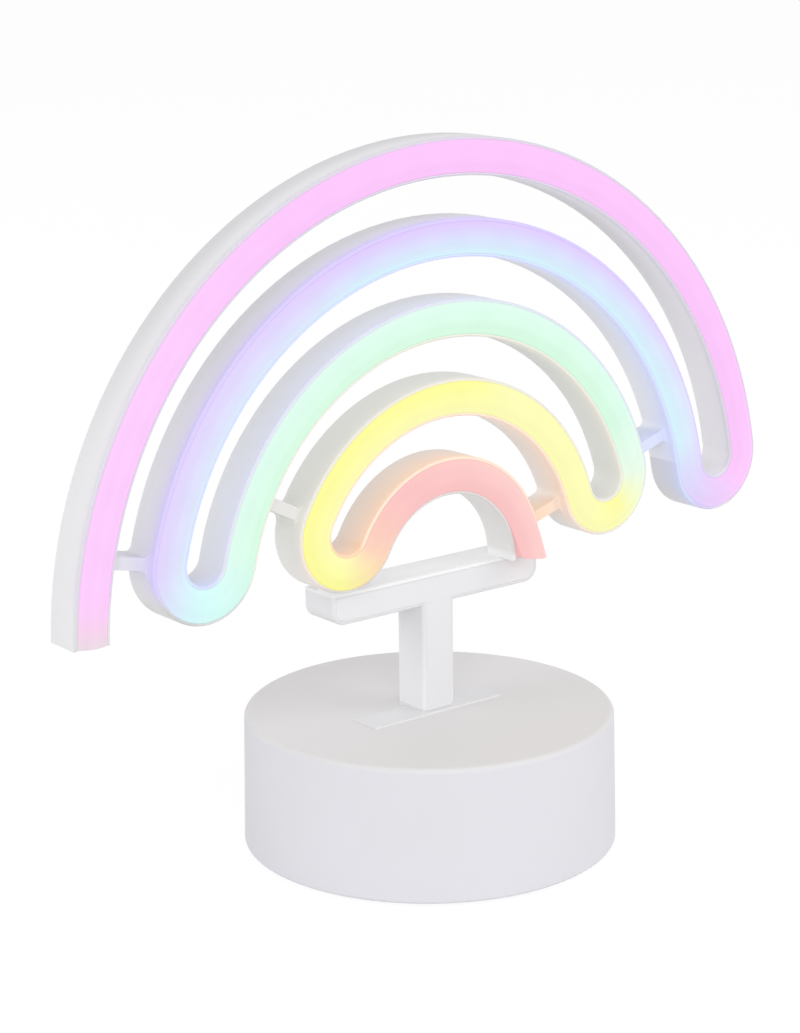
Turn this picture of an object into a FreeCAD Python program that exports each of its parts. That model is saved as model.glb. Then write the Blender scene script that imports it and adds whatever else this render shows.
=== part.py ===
"""Rainbow table lamp: a winding light channel on a T-shaped stem and a round battery base.

Millimetres. The front faces -Y, +X is to the right and +Z is up. The origin is on the
table, under the middle of the base.
"""
import FreeCAD, Part
import math
import os
import Sketcher
from FreeCAD import Placement, Rotation, Vector

DIMENSIONS = {
    # Base
    "foot_proud": 0.6,
    "foot_radius": 4.0,
    "foot_sink": 0.8,
    "foot_along": 22.0,
    "foot_gap": 2.05,
    "base_radius": 50.0,
    "base_draft": 0.7,
    "base_height": 35.7,
    "base_wall": 2.0,
    "base_top": 2.2,
    "base_round": 1.5,
    "base_edge": 0.8,
    "plate_thick": 3.0,
    "boss_radius": 3.2,
    "boss_inset": 9.0,
    "boss_across": 13.0,
    "pilot_radius": 1.1,
    "pilot_depth": 9.0,
    # Screws
    "screw_radius": 1.0,
    "screw_hole": 1.5,
    "head_radius": 2.6,
    "head_height": 1.4,
    "screw_reach": 6.0,
    # Cells and their tray
    "cell_radius": 7.25,
    "cell_length": 50.5,
    "nub_radius": 2.6,
    "nub_height": 1.2,
    "cell_space": 0.6,
    "sheet_thick": 0.4,
    "dimple_radius": 2.2,
    "dimple_height": 0.6,
    "tray_wall": 1.6,
    "spring_length": 5.2,
    "spring_wide": 4.6,
    "spring_narrow": 3.0,
    "wire_radius": 0.35,
    "spring_turns": 2.5,
    "tab_width": 3.0,
    "tab_rise": 3.0,
    "tab_offset": 11.0,
    # Battery door
    "door_thick": 2.4,
    "pin_radius": 0.7,
    "pin_length": 1.6,
    "latch_length": 6.4,
    "latch_width": 12.0,
    "latch_thick": 1.6,
    "latch_screw": 3.6,
    "latch_boss": 4.0,
    # Control board
    "board_length": 40.0,
    "board_width": 30.0,
    "board_thick": 1.6,
    "board_lift": 3.0,
    "post_radius": 2.2,
    "post_inset": 3.0,
    "chip_length": 6.0,
    "chip_width": 5.0,
    "chip_height": 1.6,
    "resistor_length": 3.2,
    "resistor_width": 1.6,
    "resistor_height": 0.7,
    "resistor_step": 4.0,
    # Slide switch
    "switch_height": 20.0,
    "switch_inset": 6.4,
    "switch_length": 13.0,
    "switch_tall": 7.0,
    "switch_depth": 5.0,
    "ear_length": 19.8,
    "ear_thick": 0.8,
    "ear_screw": 8.3,
    "web_thick": 2.4,
    "recess_length": 13.0,
    "recess_tall": 7.0,
    "switch_boss": 21.0,
    "switch_travel": 4.0,
    "knob_length": 3.4,
    "knob_tall": 3.6,
    "knob_root": 1.4,
    "knob_proud": 2.6,
    # Arches of the sign
    "arch_radius": 108.9,
    "arch_pitch": 20.54,
    "arch_level": 74.4,
    "turn_rise": 16.9,
    "foot_rise": 2.4,
    "channel_width": 9.9,
    "channel_depth": 11.3,
    "channel_lead": 9.4,
    "lip_thick": 0.75,
    "lip_edge": 0.35,
    "rear_edge": 0.6,
    "rest_width": 1.2,
    "lens_sink": 3.4,
    "lens_crown": 1.3,
    "lens_tail": 0.4,
    "floor_thick": 1.2,
    "end_wall": 0.9,
    "tie_width": 3.2,
    "tie_sink": 2.5,
    "tie_rear": 0.6,
    "tie_round": 1.6,
    "tie_root": 0.5,
    "pink_tie_rise": 20.4,
    "green_tie_rise": 26.3,
    "blue_tie_rise": 24.1,
    "yellow_tie_rise": 11.2,
    "light_width": 5.0,
    "light_thick": 0.4,
    "light_tail": 6.0,
    "diode_length": 3.5,
    "diode_width": 2.8,
    "diode_height": 0.7,
    "diode_step": 15.0,
    # Bar, stem and flange
    "stem_width": 10.5,
    "stem_lead": 4.4,
    "stem_depth": 10.4,
    "bar_overhang": 2.91,
    "bar_height": 8.5,
    "bar_depth": 11.8,
    "bar_round": 4.0,
    "tee_edge": 0.9,
    "saddle_length": 12.0,
    "saddle_rise": 3.0,
    "cover_margin": 1.0,
    "cover_thick": 1.2,
    "tray_rest": 0.8,
    "tray_back": 1.6,
    "flange_length": 43.0,
    "flange_depth": 9.5,
    "flange_lead": 1.7,
    "flange_thick": 0.5,
    "flange_edge": 0.3,
    "flange_shift": 1.3,
    "peg_radius": 2.4,
    "peg_offset": 15.0,
    "wire_hole": 6.6,
    # Leads
    "lead_radius": 0.65,
    "lead_bend": 3.0,
    "lead_space": 1.1,
    "lead_rise": 4.5,
    # Clearances
    "slip": 0.3,
    "fit": 0.05,
}

TIES = (
    # Outer arch, side of the lamp, size that lifts the tie above the arch centre
    (0, -1, "pink_tie_rise"),
    (2, -1, "green_tie_rise"),
    (1, 1, "blue_tie_rise"),
    (3, 1, "yellow_tie_rise"),
)

doc = FreeCAD.newDocument("RainbowLamp")
sheet = doc.addObject("Spreadsheet::Sheet", "Sizes")
for row, (alias, amount) in enumerate(DIMENSIONS.items(), start=1):
    sheet.set(f"A{row}", alias)
    sheet.set(f"B{row}", str(amount))
    sheet.setAlias(f"B{row}", alias)
doc.recompute()


class Size:
    """A length that knows its value and the sheet expression behind it."""

    def __init__(self, value, text):
        self.value = value
        self.text = text

    def __add__(self, other):
        return Size(self.value + number(other), f"({self.text} + {words(other)})")

    def __radd__(self, other):
        return Size(number(other) + self.value, f"({words(other)} + {self.text})")

    def __sub__(self, other):
        return Size(self.value - number(other), f"({self.text} - {words(other)})")

    def __rsub__(self, other):
        return Size(number(other) - self.value, f"({words(other)} - {self.text})")

    def __mul__(self, other):
        return Size(self.value * number(other), f"({self.text} * {words(other)})")

    __rmul__ = __mul__

    def __truediv__(self, other):
        return Size(self.value / number(other), f"({self.text} / {words(other)})")

    def __neg__(self):
        return Size(-self.value, f"(0 - {self.text})")

    def __float__(self):
        return self.value


def number(item):
    """The plain value of a size or a number."""
    return float(item)


def words(item):
    """The expression text of a size or a number."""
    return item.text if isinstance(item, Size) else repr(item)


class Sizes:
    """Gives each cell of the sheet as a size, by its alias."""

    def __getattr__(self, alias):
        return Size(float(sheet.get(alias)), f"Sizes.{alias}")


size = Sizes()
nodes = []


def bind(item, field, value):
    """Ties one property of an object to the sheet."""
    if isinstance(value, Size):
        item.setExpression(field, value.text)
    else:
        item.setExpression(field, repr(float(value)))


def node(item, label):
    """Names an object as one sub-part of the lamp."""
    item.Label = label
    nodes.append(item)
    return item


# Bodies made of sketches

def body_named(label):
    return node(doc.addObject("PartDesign::Body", label), label)


def sketch_on(body, role, lift):
    """A sketch on one of the body's own origin planes, lifted along the plane's normal."""
    plane = next(item for item in body.Origin.OriginFeatures if item.Role == role)
    sketch = body.newObject("Sketcher::SketchObject", "Sketch")
    sketch.AttachmentSupport = [(plane, "")]
    sketch.MapMode = "FlatFace"
    bind(sketch, "AttachmentOffset.Base.z", lift)
    return sketch


def pin_point(sketch, edge, end, across, up):
    """Fixes one point of a sketch at a place given by two sizes."""
    for kind, place in (("DistanceX", across), ("DistanceY", up)):
        index = sketch.addConstraint(Sketcher.Constraint(kind, -1, 1, edge, end, number(place)))
        bind(sketch, f"Constraints[{index}]", place)


def draw_outline(sketch, points):
    """A closed outline of straight edges through the given points."""
    spots = [Vector(number(across), number(up), 0) for across, up in points]
    first = sketch.GeometryCount
    count = len(points)
    for index in range(count):
        sketch.addGeometry(Part.LineSegment(spots[index], spots[(index + 1) % count]), False)
    for index in range(count):
        after = first + (index + 1) % count
        sketch.addConstraint(Sketcher.Constraint("Coincident", first + index, 2, after, 1))
    for index, (across, up) in enumerate(points):
        pin_point(sketch, first + index, 1, across, up)


def draw_box(sketch, left, right, low, high):
    draw_outline(sketch, [(left, low), (right, low), (right, high), (left, high)])


def draw_circle(sketch, across, up, radius):
    ring = Part.Circle(Vector(number(across), number(up), 0), Vector(0, 0, 1), number(radius))
    edge = sketch.addGeometry(ring, False)
    pin_point(sketch, edge, 3, across, up)
    index = sketch.addConstraint(Sketcher.Constraint("Radius", edge, number(radius)))
    bind(sketch, f"Constraints[{index}]", radius)


def raise_up(body, draw, low, high):
    """Adds an upright prism between two heights."""
    sketch = sketch_on(body, "XY_Plane", low)
    draw(sketch)
    pad = body.newObject("PartDesign::Pad", "Pad")
    pad.Profile = sketch
    bind(pad, "Length", high - low)
    doc.recompute()
    return pad


def sink_down(body, draw, low, high):
    """Cuts an upright prism between two heights."""
    sketch = sketch_on(body, "XY_Plane", high)
    draw(sketch)
    before = body.Shape.Volume
    pocket = body.newObject("PartDesign::Pocket", "Pocket")
    pocket.Profile = sketch
    bind(pocket, "Length", high - low)
    doc.recompute()
    check_cut(body, before)


def push_front(body, draw, front, back):
    """Adds a prism that runs from back to front."""
    sketch = sketch_on(body, "XZ_Plane", -back)
    draw(sketch)
    pad = body.newObject("PartDesign::Pad", "Pad")
    pad.Profile = sketch
    bind(pad, "Length", back - front)
    doc.recompute()


def bore_back(body, draw, front, back):
    """Cuts a prism that runs from front to back."""
    sketch = sketch_on(body, "XZ_Plane", -front)
    draw(sketch)
    before = body.Shape.Volume
    pocket = body.newObject("PartDesign::Pocket", "Pocket")
    pocket.Profile = sketch
    bind(pocket, "Length", back - front)
    doc.recompute()
    check_cut(body, before)


def check_cut(body, before):
    """A cut that points away from the solid leaves the volume as it was."""
    if body.Shape.Volume >= before:
        raise RuntimeError(f"a cut in {body.Label} removed nothing")


def spin(body, role, points, axis):
    """Turns an outline about one of its sketch's own axes."""
    sketch = sketch_on(body, role, 0.0)
    draw_outline(sketch, points)
    turned = body.newObject("PartDesign::Revolution", "Revolution")
    turned.Profile = sketch
    turned.ReferenceAxis = (sketch, [axis])
    turned.Angle = 360
    doc.recompute()
    return turned


def round_rings(body, rings):
    """Rounds the circular edges that lie at the given heights."""
    for height, radius, amount in rings:
        names = [
            f"Edge{index}"
            for index, edge in enumerate(body.Shape.Edges, start=1)
            if ring_at(edge, number(height), number(radius))
        ]
        base = body.Tip
        fillet = body.newObject("PartDesign::Fillet", "Fillet")
        fillet.Base = (base, names)
        bind(fillet, "Radius", amount)
        body.Tip = fillet
        doc.recompute()


def ring_at(edge, height, radius):
    curve = edge.Curve
    if not isinstance(curve, Part.Circle):
        return False
    return abs(curve.Center.z - height) < 1e-6 and abs(curve.Radius - radius) < 1e-6


# Simple solids

def block(label, across, along, upright):
    """A box between pairs of places on the three axes."""
    item = doc.addObject("Part::Box", label)
    for field, axis, (low, high) in zip(
        ("Length", "Width", "Height"), "xyz", (across, along, upright)
    ):
        bind(item, field, high - low)
        bind(item, f"Placement.Base.{axis}", low)
    return item


def rod(label, across, along, low, high, radius):
    """An upright cylinder between two heights."""
    item = doc.addObject("Part::Cylinder", label)
    bind(item, "Radius", radius)
    bind(item, "Height", high - low)
    bind(item, "Placement.Base.x", across)
    bind(item, "Placement.Base.y", along)
    bind(item, "Placement.Base.z", low)
    return item


def fused(label, *items):
    item = doc.addObject("Part::MultiFuse", label)
    item.Shapes = list(items)
    return item


def gathered(label, *items):
    """Several separate solids under one name."""
    item = doc.addObject("Part::Compound", label)
    item.Links = list(items)
    return item


def without(label, base, *tools):
    item = doc.addObject("Part::Cut", label)
    item.Base = base
    item.Tool = tools[0] if len(tools) == 1 else fused(f"{label}_tools", *tools)
    return item


def shaped(label, shape):
    """A sub-part whose form follows a path."""
    item = doc.addObject("Part::Feature", label)
    item.Shape = shape
    return node(item, label)


# Places that several pieces share

ground = size.foot_proud
base_crown = ground + size.base_height
base_ceiling = base_crown - size.base_top
plate_top = ground + size.plate_thick
plate_radius = size.base_radius - size.base_wall - size.slip
cell_step = 2 * size.cell_radius + size.cell_space
tray_across = 1.5 * cell_step + size.slip
tray_along = (size.cell_length + size.spring_length + size.dimple_height) / 2 + size.sheet_thick
cell_level = ground + size.door_thick + size.slip + size.cell_radius
tray_ceiling = cell_level + size.cell_radius + size.slip
tray_roof = tray_ceiling + size.tray_wall
board_low = tray_roof + size.board_lift
board_top = board_low + size.board_thick
foot_across = tray_across + size.foot_radius + size.foot_gap
boss_along = size.base_radius - size.boss_inset
switch_face = size.base_radius - size.switch_inset
switch_back = switch_face - size.switch_depth
channel_front = -size.channel_lead
stem_front = -size.stem_lead
flange_front = stem_front - size.flange_lead
flange_middle = flange_front + size.flange_depth / 2
flange_top = base_crown + size.flange_thick
stem_back = stem_front + size.stem_depth
lead_y = stem_front + size.stem_depth / 2
inner_radius = size.arch_radius - 4 * size.arch_pitch
bar_half = inner_radius + size.channel_width / 2 + size.bar_overhang
bar_low = size.arch_level - size.bar_height
bar_middle = bar_low + size.bar_height / 2
corners = [(a, b) for a in (-1, 1) for b in (-1, 1)]


def peg_place(side):
    """Where the flange's left or right peg stands, along the flange."""
    return side * size.peg_offset - size.flange_shift


# Base

def make_base_shell():
    """A drafted cup with screw bosses, the stem's holes and the switch's window."""
    body = body_named("base_shell")
    rim = size.base_radius
    crown = rim - size.base_draft
    spin(body, "XZ_Plane", [
        (rim, ground),
        (crown, base_crown),
        (0.0, base_crown),
        (0.0, base_ceiling),
        (crown - size.base_wall, base_ceiling),
        (rim - size.base_wall, ground),
    ], "V_Axis")
    round_rings(body, [
        (base_crown, crown, size.base_round),
        (ground, rim, size.base_edge),
    ])

    def bosses(radius):
        def draw(sketch):
            for a, b in corners:
                draw_circle(sketch, a * boss_along, b * size.boss_across, radius)
        return draw

    raise_up(body, bosses(size.boss_radius), plate_top, base_ceiling + size.base_top / 2)
    sink_down(body, bosses(size.pilot_radius), plate_top, plate_top + size.pilot_depth)

    def stem_holes(sketch):
        half = size.wire_hole / 2
        draw_box(sketch, -half, half, lead_y - half, lead_y + half)
        for side in (-1, 1):
            radius = size.peg_radius + size.slip
            draw_circle(sketch, peg_place(side), flange_middle, radius)

    sink_down(body, stem_holes, base_ceiling, base_crown)

    def window(length, tall):
        def draw(sketch):
            draw_box(
                sketch, -length / 2, length / 2,
                size.switch_height - tall / 2, size.switch_height + tall / 2,
            )
        return draw

    boss_tall = size.recess_tall + 2 * size.base_wall
    rear = size.base_radius
    recess_floor = switch_face + size.web_thick
    push_front(body, window(size.switch_boss, boss_tall), switch_face, rear - size.base_wall)
    bore_back(body, window(size.recess_length, size.recess_tall), recess_floor, rear)
    slot = size.knob_length + size.switch_travel + 2 * size.slip
    bore_back(body, window(slot, size.knob_tall + 2 * size.slip), switch_face, recess_floor)

    def ear_pilots(sketch):
        for side in (-1, 1):
            draw_circle(sketch, side * size.ear_screw, size.switch_height, size.pilot_radius)

    bore_back(body, ear_pilots, switch_face, recess_floor)


def make_base_plate():
    """The round bottom with the battery tray, the posts of the board and the recesses of the feet."""
    body = body_named("base_plate")
    raise_up(body, lambda s: draw_circle(s, 0.0, 0.0, plate_radius), ground, plate_top)
    out_along = tray_along + size.tray_wall
    out_across = tray_across + size.tray_wall
    raise_up(
        body, lambda s: draw_box(s, -out_along, out_along, -out_across, out_across),
        plate_top, tray_roof,
    )
    screw_along = tray_along + size.latch_screw
    raise_up(
        body, lambda s: draw_circle(s, screw_along, 0.0, size.boss_radius),
        plate_top, plate_top + size.latch_boss,
    )
    posts_along = size.board_length / 2 - size.post_inset
    posts_across = size.board_width / 2 - size.post_inset

    def posts(radius):
        def draw(sketch):
            for a, b in corners:
                draw_circle(sketch, a * posts_along, b * posts_across, radius)
        return draw

    raise_up(body, posts(size.post_radius), tray_roof, board_low)
    sink_down(body, posts(size.pilot_radius), tray_roof, board_low)
    sink_down(
        body, lambda s: draw_box(s, -tray_along, tray_along, -tray_across, tray_across),
        ground, tray_ceiling,
    )
    half = size.latch_width / 2 + size.slip
    latch_end = tray_along + size.latch_length
    sink_down(
        body, lambda s: draw_box(s, tray_along, latch_end, -half, half),
        ground, ground + size.latch_thick,
    )
    sink_down(
        body, lambda s: draw_circle(s, screw_along, 0.0, size.screw_radius + size.slip),
        ground + size.latch_thick, plate_top + size.latch_boss,
    )
    hinge_x, hinge_z = hinge_place()
    reach = tray_across + size.pin_length
    bore_back(
        body, lambda s: draw_circle(s, hinge_x, hinge_z, size.pin_radius + size.fit),
        -reach, reach,
    )

    def feet(sketch):
        for a, b in corners:
            draw_circle(sketch, a * size.foot_along, b * foot_across, size.foot_radius + size.slip)

    sink_down(body, feet, ground, ground + size.foot_sink)

    def plate_screws(radius):
        def draw(sketch):
            for a, b in corners:
                draw_circle(sketch, a * boss_along, b * size.boss_across, radius)
        return draw

    sink_down(body, plate_screws(size.screw_hole), ground, plate_top)
    sink_down(body, plate_screws(size.head_radius + size.slip), ground, ground + size.head_height)

    def tab_slots(sketch):
        for side in (-1, 1):
            outer = side * tray_along
            inner = side * (tray_along - size.sheet_thick - size.slip)
            middle = side * size.tab_offset
            wide = size.tab_width / 2 + size.slip
            draw_box(
                sketch,
                inner if side > 0 else outer, outer if side > 0 else inner,
                middle - wide, middle + wide,
            )

    sink_down(body, tab_slots, tray_ceiling, tray_roof)


def hinge_place():
    """Where the door's pins turn, seen from the front."""
    barrel = size.door_thick / 2
    return -tray_along + size.slip + barrel, ground + barrel


def make_battery_door():
    """A flat door with a rounded hinge edge, two pins and a screw tongue."""
    body = body_named("battery_door")
    hinge_x, hinge_z = hinge_place()
    edge = tray_along - size.slip
    side = tray_across - size.slip
    raise_up(
        body, lambda s: draw_box(s, hinge_x, edge, -side, side),
        ground, ground + size.door_thick,
    )
    push_front(
        body, lambda s: draw_circle(s, hinge_x, hinge_z, size.door_thick / 2), -side, side,
    )
    pin_end = tray_across + size.pin_length - size.slip
    push_front(
        body, lambda s: draw_circle(s, hinge_x, hinge_z, size.pin_radius), -pin_end, pin_end,
    )
    tongue_end = tray_along + size.latch_length - size.slip
    half = size.latch_width / 2
    raise_up(
        body, lambda s: draw_box(s, edge - size.door_thick, tongue_end, -half, half),
        ground, ground + size.latch_thick,
    )
    screw_along = tray_along + size.latch_screw
    sink_down(
        body, lambda s: draw_circle(s, screw_along, 0.0, size.screw_radius + size.slip),
        ground, ground + size.latch_thick,
    )
    sink_down(
        body, lambda s: draw_circle(s, screw_along, 0.0, size.head_radius + size.slip),
        ground, ground + size.latch_thick / 2,
    )


def screw_up(label, across, along, head_low, head_height, reach):
    """A pan-head screw that points up."""
    head_top = head_low + head_height
    head = rod(f"{label}_head", across, along, head_low, head_top, size.head_radius)
    shank = rod(f"{label}_shank", across, along, head_top, head_top + reach, size.screw_radius)
    return fused(label, head, shank)


def make_base_fasteners():
    """The screws of the base, the door, the board and the stem, and the rubber feet."""
    node(gathered("base_screws", *[
        screw_up(
            f"base_screw_{index}", a * boss_along, b * size.boss_across,
            ground, size.head_height, size.screw_reach,
        )
        for index, (a, b) in enumerate(corners)
    ]), "base_screws")
    node(screw_up(
        "door_screw", tray_along + size.latch_screw, 0.0,
        ground, size.latch_thick / 2, size.latch_boss,
    ), "door_screw")
    node(gathered("sign_screws", *[
        screw_up(
            f"sign_screw_{index}", peg_place(side), flange_middle,
            base_ceiling - size.head_height, size.head_height, size.base_top - size.slip,
        )
        for index, side in enumerate((-1, 1))
    ]), "sign_screws")
    node(gathered("foot_pads", *[
        rod(
            f"foot_pad_{index}", a * size.foot_along, b * foot_across,
            0.0, ground + size.foot_sink, size.foot_radius,
        )
        for index, (a, b) in enumerate(corners)
    ]), "foot_pads")


# Cells and contacts

def cell_rows():
    """Each cell's row and the side that its raised pole points to."""
    return ((-1, 1), (0, -1), (1, 1))


def make_cells():
    """Three AA cells, each one end for end with its neighbour."""
    flat = size.cell_length - size.nub_height
    start = -tray_along + size.sheet_thick + size.spring_length
    for index, (row, side) in enumerate(cell_rows(), start=1):
        body = body_named(f"cell_{index}")
        spin(body, "XZ_Plane", [
            (start, 0.0),
            (start + size.cell_length, 0.0),
            (start + size.cell_length, size.nub_radius),
            (start + flat, size.nub_radius),
            (start + flat, size.cell_radius),
            (start, size.cell_radius),
        ], "H_Axis")
        bind(body, "Placement.Base.y", row * cell_step)
        bind(body, "Placement.Base.z", cell_level)
        if side < 0:
            body.Placement.Rotation = Rotation(Vector(0, 0, 1), 180)
            bind(body, "Placement.Base.y", row * cell_step)


def contact_sheet(label, side, low_row, high_row, pole_row):
    """A sheet against one end wall, with a dimple where a raised pole meets it."""
    wall = side * tray_along
    face = side * (tray_along - size.sheet_thick)
    half = size.cell_radius - size.cell_space
    across = (face, wall) if side > 0 else (wall, face)
    pieces = [block(
        f"{label}_sheet", across,
        (low_row * cell_step - half, high_row * cell_step + half),
        (cell_level - half, cell_level + half),
    )]
    if pole_row is not None:
        dimple = doc.addObject("Part::Cone", f"{label}_dimple")
        bind(dimple, "Radius1", size.dimple_radius + size.dimple_height)
        bind(dimple, "Radius2", size.dimple_radius)
        bind(dimple, "Height", size.dimple_height)
        dimple.Placement = Placement(Vector(), Rotation(Vector(0, 1, 0), -90 * side))
        bind(dimple, "Placement.Base.x", face)
        bind(dimple, "Placement.Base.y", pole_row * cell_step)
        bind(dimple, "Placement.Base.z", cell_level)
        pieces.append(dimple)
    if low_row == high_row:
        middle = low_row * size.tab_offset
        pieces.append(block(
            f"{label}_tab", across,
            (middle - size.tab_width / 2, middle + size.tab_width / 2),
            (cell_level, tray_roof + size.tab_rise),
        ))
    item = fused(label, *pieces) if len(pieces) > 1 else pieces[0]
    return node(item, label)


def make_contacts():
    """Two bridges join the cells in a row, and two tabs lead to the board."""
    contact_sheet("negative_terminal", -1, -1, -1, None)
    contact_sheet("left_bridge", -1, 0, 1, 0)
    contact_sheet("right_bridge", 1, -1, 0, -1)
    contact_sheet("positive_terminal", 1, 1, 1, 1)


def biarc(start, start_way, end, end_way):
    """Two arcs that leave one point and reach another along given directions."""
    chord = end - start
    ways = start_way + end_way
    spread = 2 * (1 - start_way.dot(end_way))
    along = chord.dot(ways)
    pull = (math.sqrt(along * along + spread * chord.dot(chord)) - along) / spread
    first = start + start_way * pull
    last = end - end_way * pull
    middle = (first + last) * 0.5
    return [tangent_arc(start, first, middle), tangent_arc(middle, last, end)]


def tangent_arc(start, corner, end):
    """The arc that touches both sides of a corner at its two ends."""
    weight = (end - start).Length / (2 * (corner - start).Length)
    middle = (start + corner * (2 * weight) + end) * (1 / (2 + 2 * weight))
    return Part.Arc(start, middle, end).toShape()


def coil_state(turn):
    """Place and direction on a conical coil after a number of turns."""
    turns = size.spring_turns.value
    wide = size.spring_wide.value
    shrink = (size.spring_narrow.value - wide) / turns
    rise = (size.spring_length.value - 2 * (size.wire_radius.value + size.fit.value)) / turns
    radius = wide + shrink * turn
    angle = 2 * math.pi * turn
    outward = Vector(0, math.cos(angle), math.sin(angle))
    round_way = Vector(0, -math.sin(angle), math.cos(angle))
    start = size.wire_radius.value + size.fit.value
    place = Vector(start + rise * turn, 0, 0) + outward * radius
    way = Vector(rise, 0, 0) + outward * shrink + round_way * (2 * math.pi * radius)
    return place, way.normalize()


def coil_gap():
    """The least gap between neighbouring curls, measured on points along the wire."""
    steps = 24
    count = int(size.spring_turns.value * steps)
    spots = [coil_state(index / steps)[0] for index in range(count + 1)]
    apart = min(
        (spots[j] - spots[i]).Length
        for i in range(len(spots))
        for j in range(i + steps // 2, len(spots))
    )
    return apart - 2 * size.wire_radius.value


def make_springs():
    """A conical coil behind the flat pole of each cell."""
    half_turns = int(2 * size.spring_turns.value)
    states = [coil_state(index / 2) for index in range(half_turns + 1)]
    edges = []
    for (start, start_way), (end, end_way) in zip(states, states[1:]):
        edges.extend(biarc(start, start_way, end, end_way))
    first, way = states[0]
    ring = Part.Wire([Part.Circle(first, way, size.wire_radius.value).toShape()])
    coil = Part.Wire(edges).makePipeShell([ring], True, False)
    print(f"least gap between the curls of a spring: {coil_gap():.2f} mm")
    face = tray_along - size.sheet_thick
    for index, (row, side) in enumerate(cell_rows(), start=1):
        item = shaped(f"spring_{index}", coil)
        item.Placement.Rotation = Rotation(Vector(0, 0, 1), 0 if side > 0 else 180)
        bind(item, "Placement.Base.x", -side * face)
        bind(item, "Placement.Base.y", row * cell_step)
        bind(item, "Placement.Base.z", cell_level)


# Control board and switch

def make_board():
    """The driver board on its posts, with its chip, resistors and screws."""
    half_length = size.board_length / 2
    half_width = size.board_width / 2
    board = block(
        "board_blank", (-half_length, half_length), (-half_width, half_width), (board_low, board_top),
    )
    along = half_length - size.post_inset
    across = half_width - size.post_inset
    holes = [
        rod(f"board_hole_{index}", a * along, b * across, board_low, board_top, size.screw_hole)
        for index, (a, b) in enumerate(corners)
    ]
    node(without("control_board", board, *holes), "control_board")
    chip_x = -half_length / 2
    node(block(
        "driver_chip", (chip_x - size.chip_length / 2, chip_x + size.chip_length / 2),
        (-size.chip_width / 2, size.chip_width / 2), (board_top, board_top + size.chip_height),
    ), "driver_chip")
    resistors = []
    for index, row in enumerate((-1, 0, 1)):
        left = half_length / 2 - size.resistor_length / 2
        front = row * size.resistor_step - size.resistor_width / 2
        resistors.append(block(
            f"resistor_{index}", (left, left + size.resistor_length),
            (front, front + size.resistor_width), (board_top, board_top + size.resistor_height),
        ))
    node(gathered("resistors", *resistors), "resistors")
    screws = []
    for index, (a, b) in enumerate(corners):
        head = rod(
            f"board_screw_head_{index}", a * along, b * across,
            board_top, board_top + size.head_height, size.head_radius - size.slip,
        )
        shank = rod(
            f"board_screw_shank_{index}", a * along, b * across,
            tray_roof + size.slip, board_top, size.screw_radius,
        )
        screws.append(fused(f"board_screw_{index}", head, shank))
    node(gathered("board_screws", *screws), "board_screws")


def make_switch():
    """A slide switch behind the rear wall, its two screws and the knob in the window."""
    body = body_named("switch_body")

    def face_box(length, tall):
        def draw(sketch):
            draw_box(
                sketch, -length / 2, length / 2,
                size.switch_height - tall / 2, size.switch_height + tall / 2,
            )
        return draw

    push_front(body, face_box(size.switch_length, size.switch_tall), switch_back, switch_face)
    push_front(
        body, face_box(size.ear_length, size.knob_tall + 2 * size.slip),
        switch_face - size.ear_thick, switch_face,
    )
    slot = size.knob_length + size.switch_travel + 2 * size.slip
    bore_back(
        body, face_box(slot, size.knob_tall + 2 * size.fit),
        switch_face - size.knob_root - size.fit, switch_face,
    )

    def ear_holes(sketch):
        for side in (-1, 1):
            radius = size.screw_radius + size.fit
            draw_circle(sketch, side * size.ear_screw, size.switch_height, radius)

    bore_back(body, ear_holes, switch_face - size.ear_thick, switch_face)

    make_switch_knob()

    screws = []
    head_front = switch_face - size.ear_thick - size.head_height
    for index, side in enumerate((-1, 1)):
        head = rod(
            f"switch_screw_head_{index}", 0.0, 0.0, 0.0, size.head_height,
            size.head_radius / 2 + size.slip,
        )
        shank = rod(
            f"switch_screw_shank_{index}", 0.0, 0.0, size.head_height,
            size.head_height + size.ear_thick + size.web_thick - size.slip, size.screw_radius,
        )
        screw = fused(f"switch_screw_{index}", head, shank)
        screw.Placement.Rotation = Rotation(Vector(1, 0, 0), -90)
        bind(screw, "Placement.Base.x", side * size.ear_screw)
        bind(screw, "Placement.Base.y", head_front)
        bind(screw, "Placement.Base.z", size.switch_height)
        screws.append(screw)
    node(gathered("switch_screws", *screws), "switch_screws")


def make_switch_knob():
    """The ribbed knob, slid to the lit end of its window."""
    knob = body_named("switch_knob")
    left = size.switch_travel / 2 - size.knob_length / 2
    low = size.switch_height - size.knob_tall / 2
    high = low + size.knob_tall
    tip = switch_face + size.web_thick + size.knob_proud
    push_front(
        knob, lambda s: draw_box(s, left, left + size.knob_length, low, high),
        switch_face - size.knob_root, tip,
    )
    rib = size.knob_length / 7

    def grooves(sketch):
        for step in (1, 3, 5):
            draw_box(sketch, left + step * rib, left + (step + 1) * rib, low, high)

    bore_back(knob, grooves, tip - rib, tip)


# The winding path of the sign, in the XZ plane

class Bend:
    """An arc of the path about a centre, from one angle to another, in degrees."""

    def __init__(self, x, z, radius, start, end):
        self.x = x
        self.z = z
        self.radius = radius
        self.start = start
        self.end = end
        self.turn = 1 if end > start else -1

    def spot(self, angle, side=0.0, y=0.0):
        """A point of the arc, moved to the left of the way along it by a given distance."""
        radius = self.radius - self.turn * side
        radians = math.radians(angle)
        return Vector(self.x + radius * math.cos(radians), y, self.z + radius * math.sin(radians))

    def edge(self, side, y, back=False):
        angles = [self.start, (self.start + self.end) / 2, self.end]
        if back:
            angles.reverse()
        return Part.Arc(*[self.spot(angle, side, y) for angle in angles]).toShape()

    def length(self):
        return self.radius * math.radians(abs(self.end - self.start))


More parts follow.
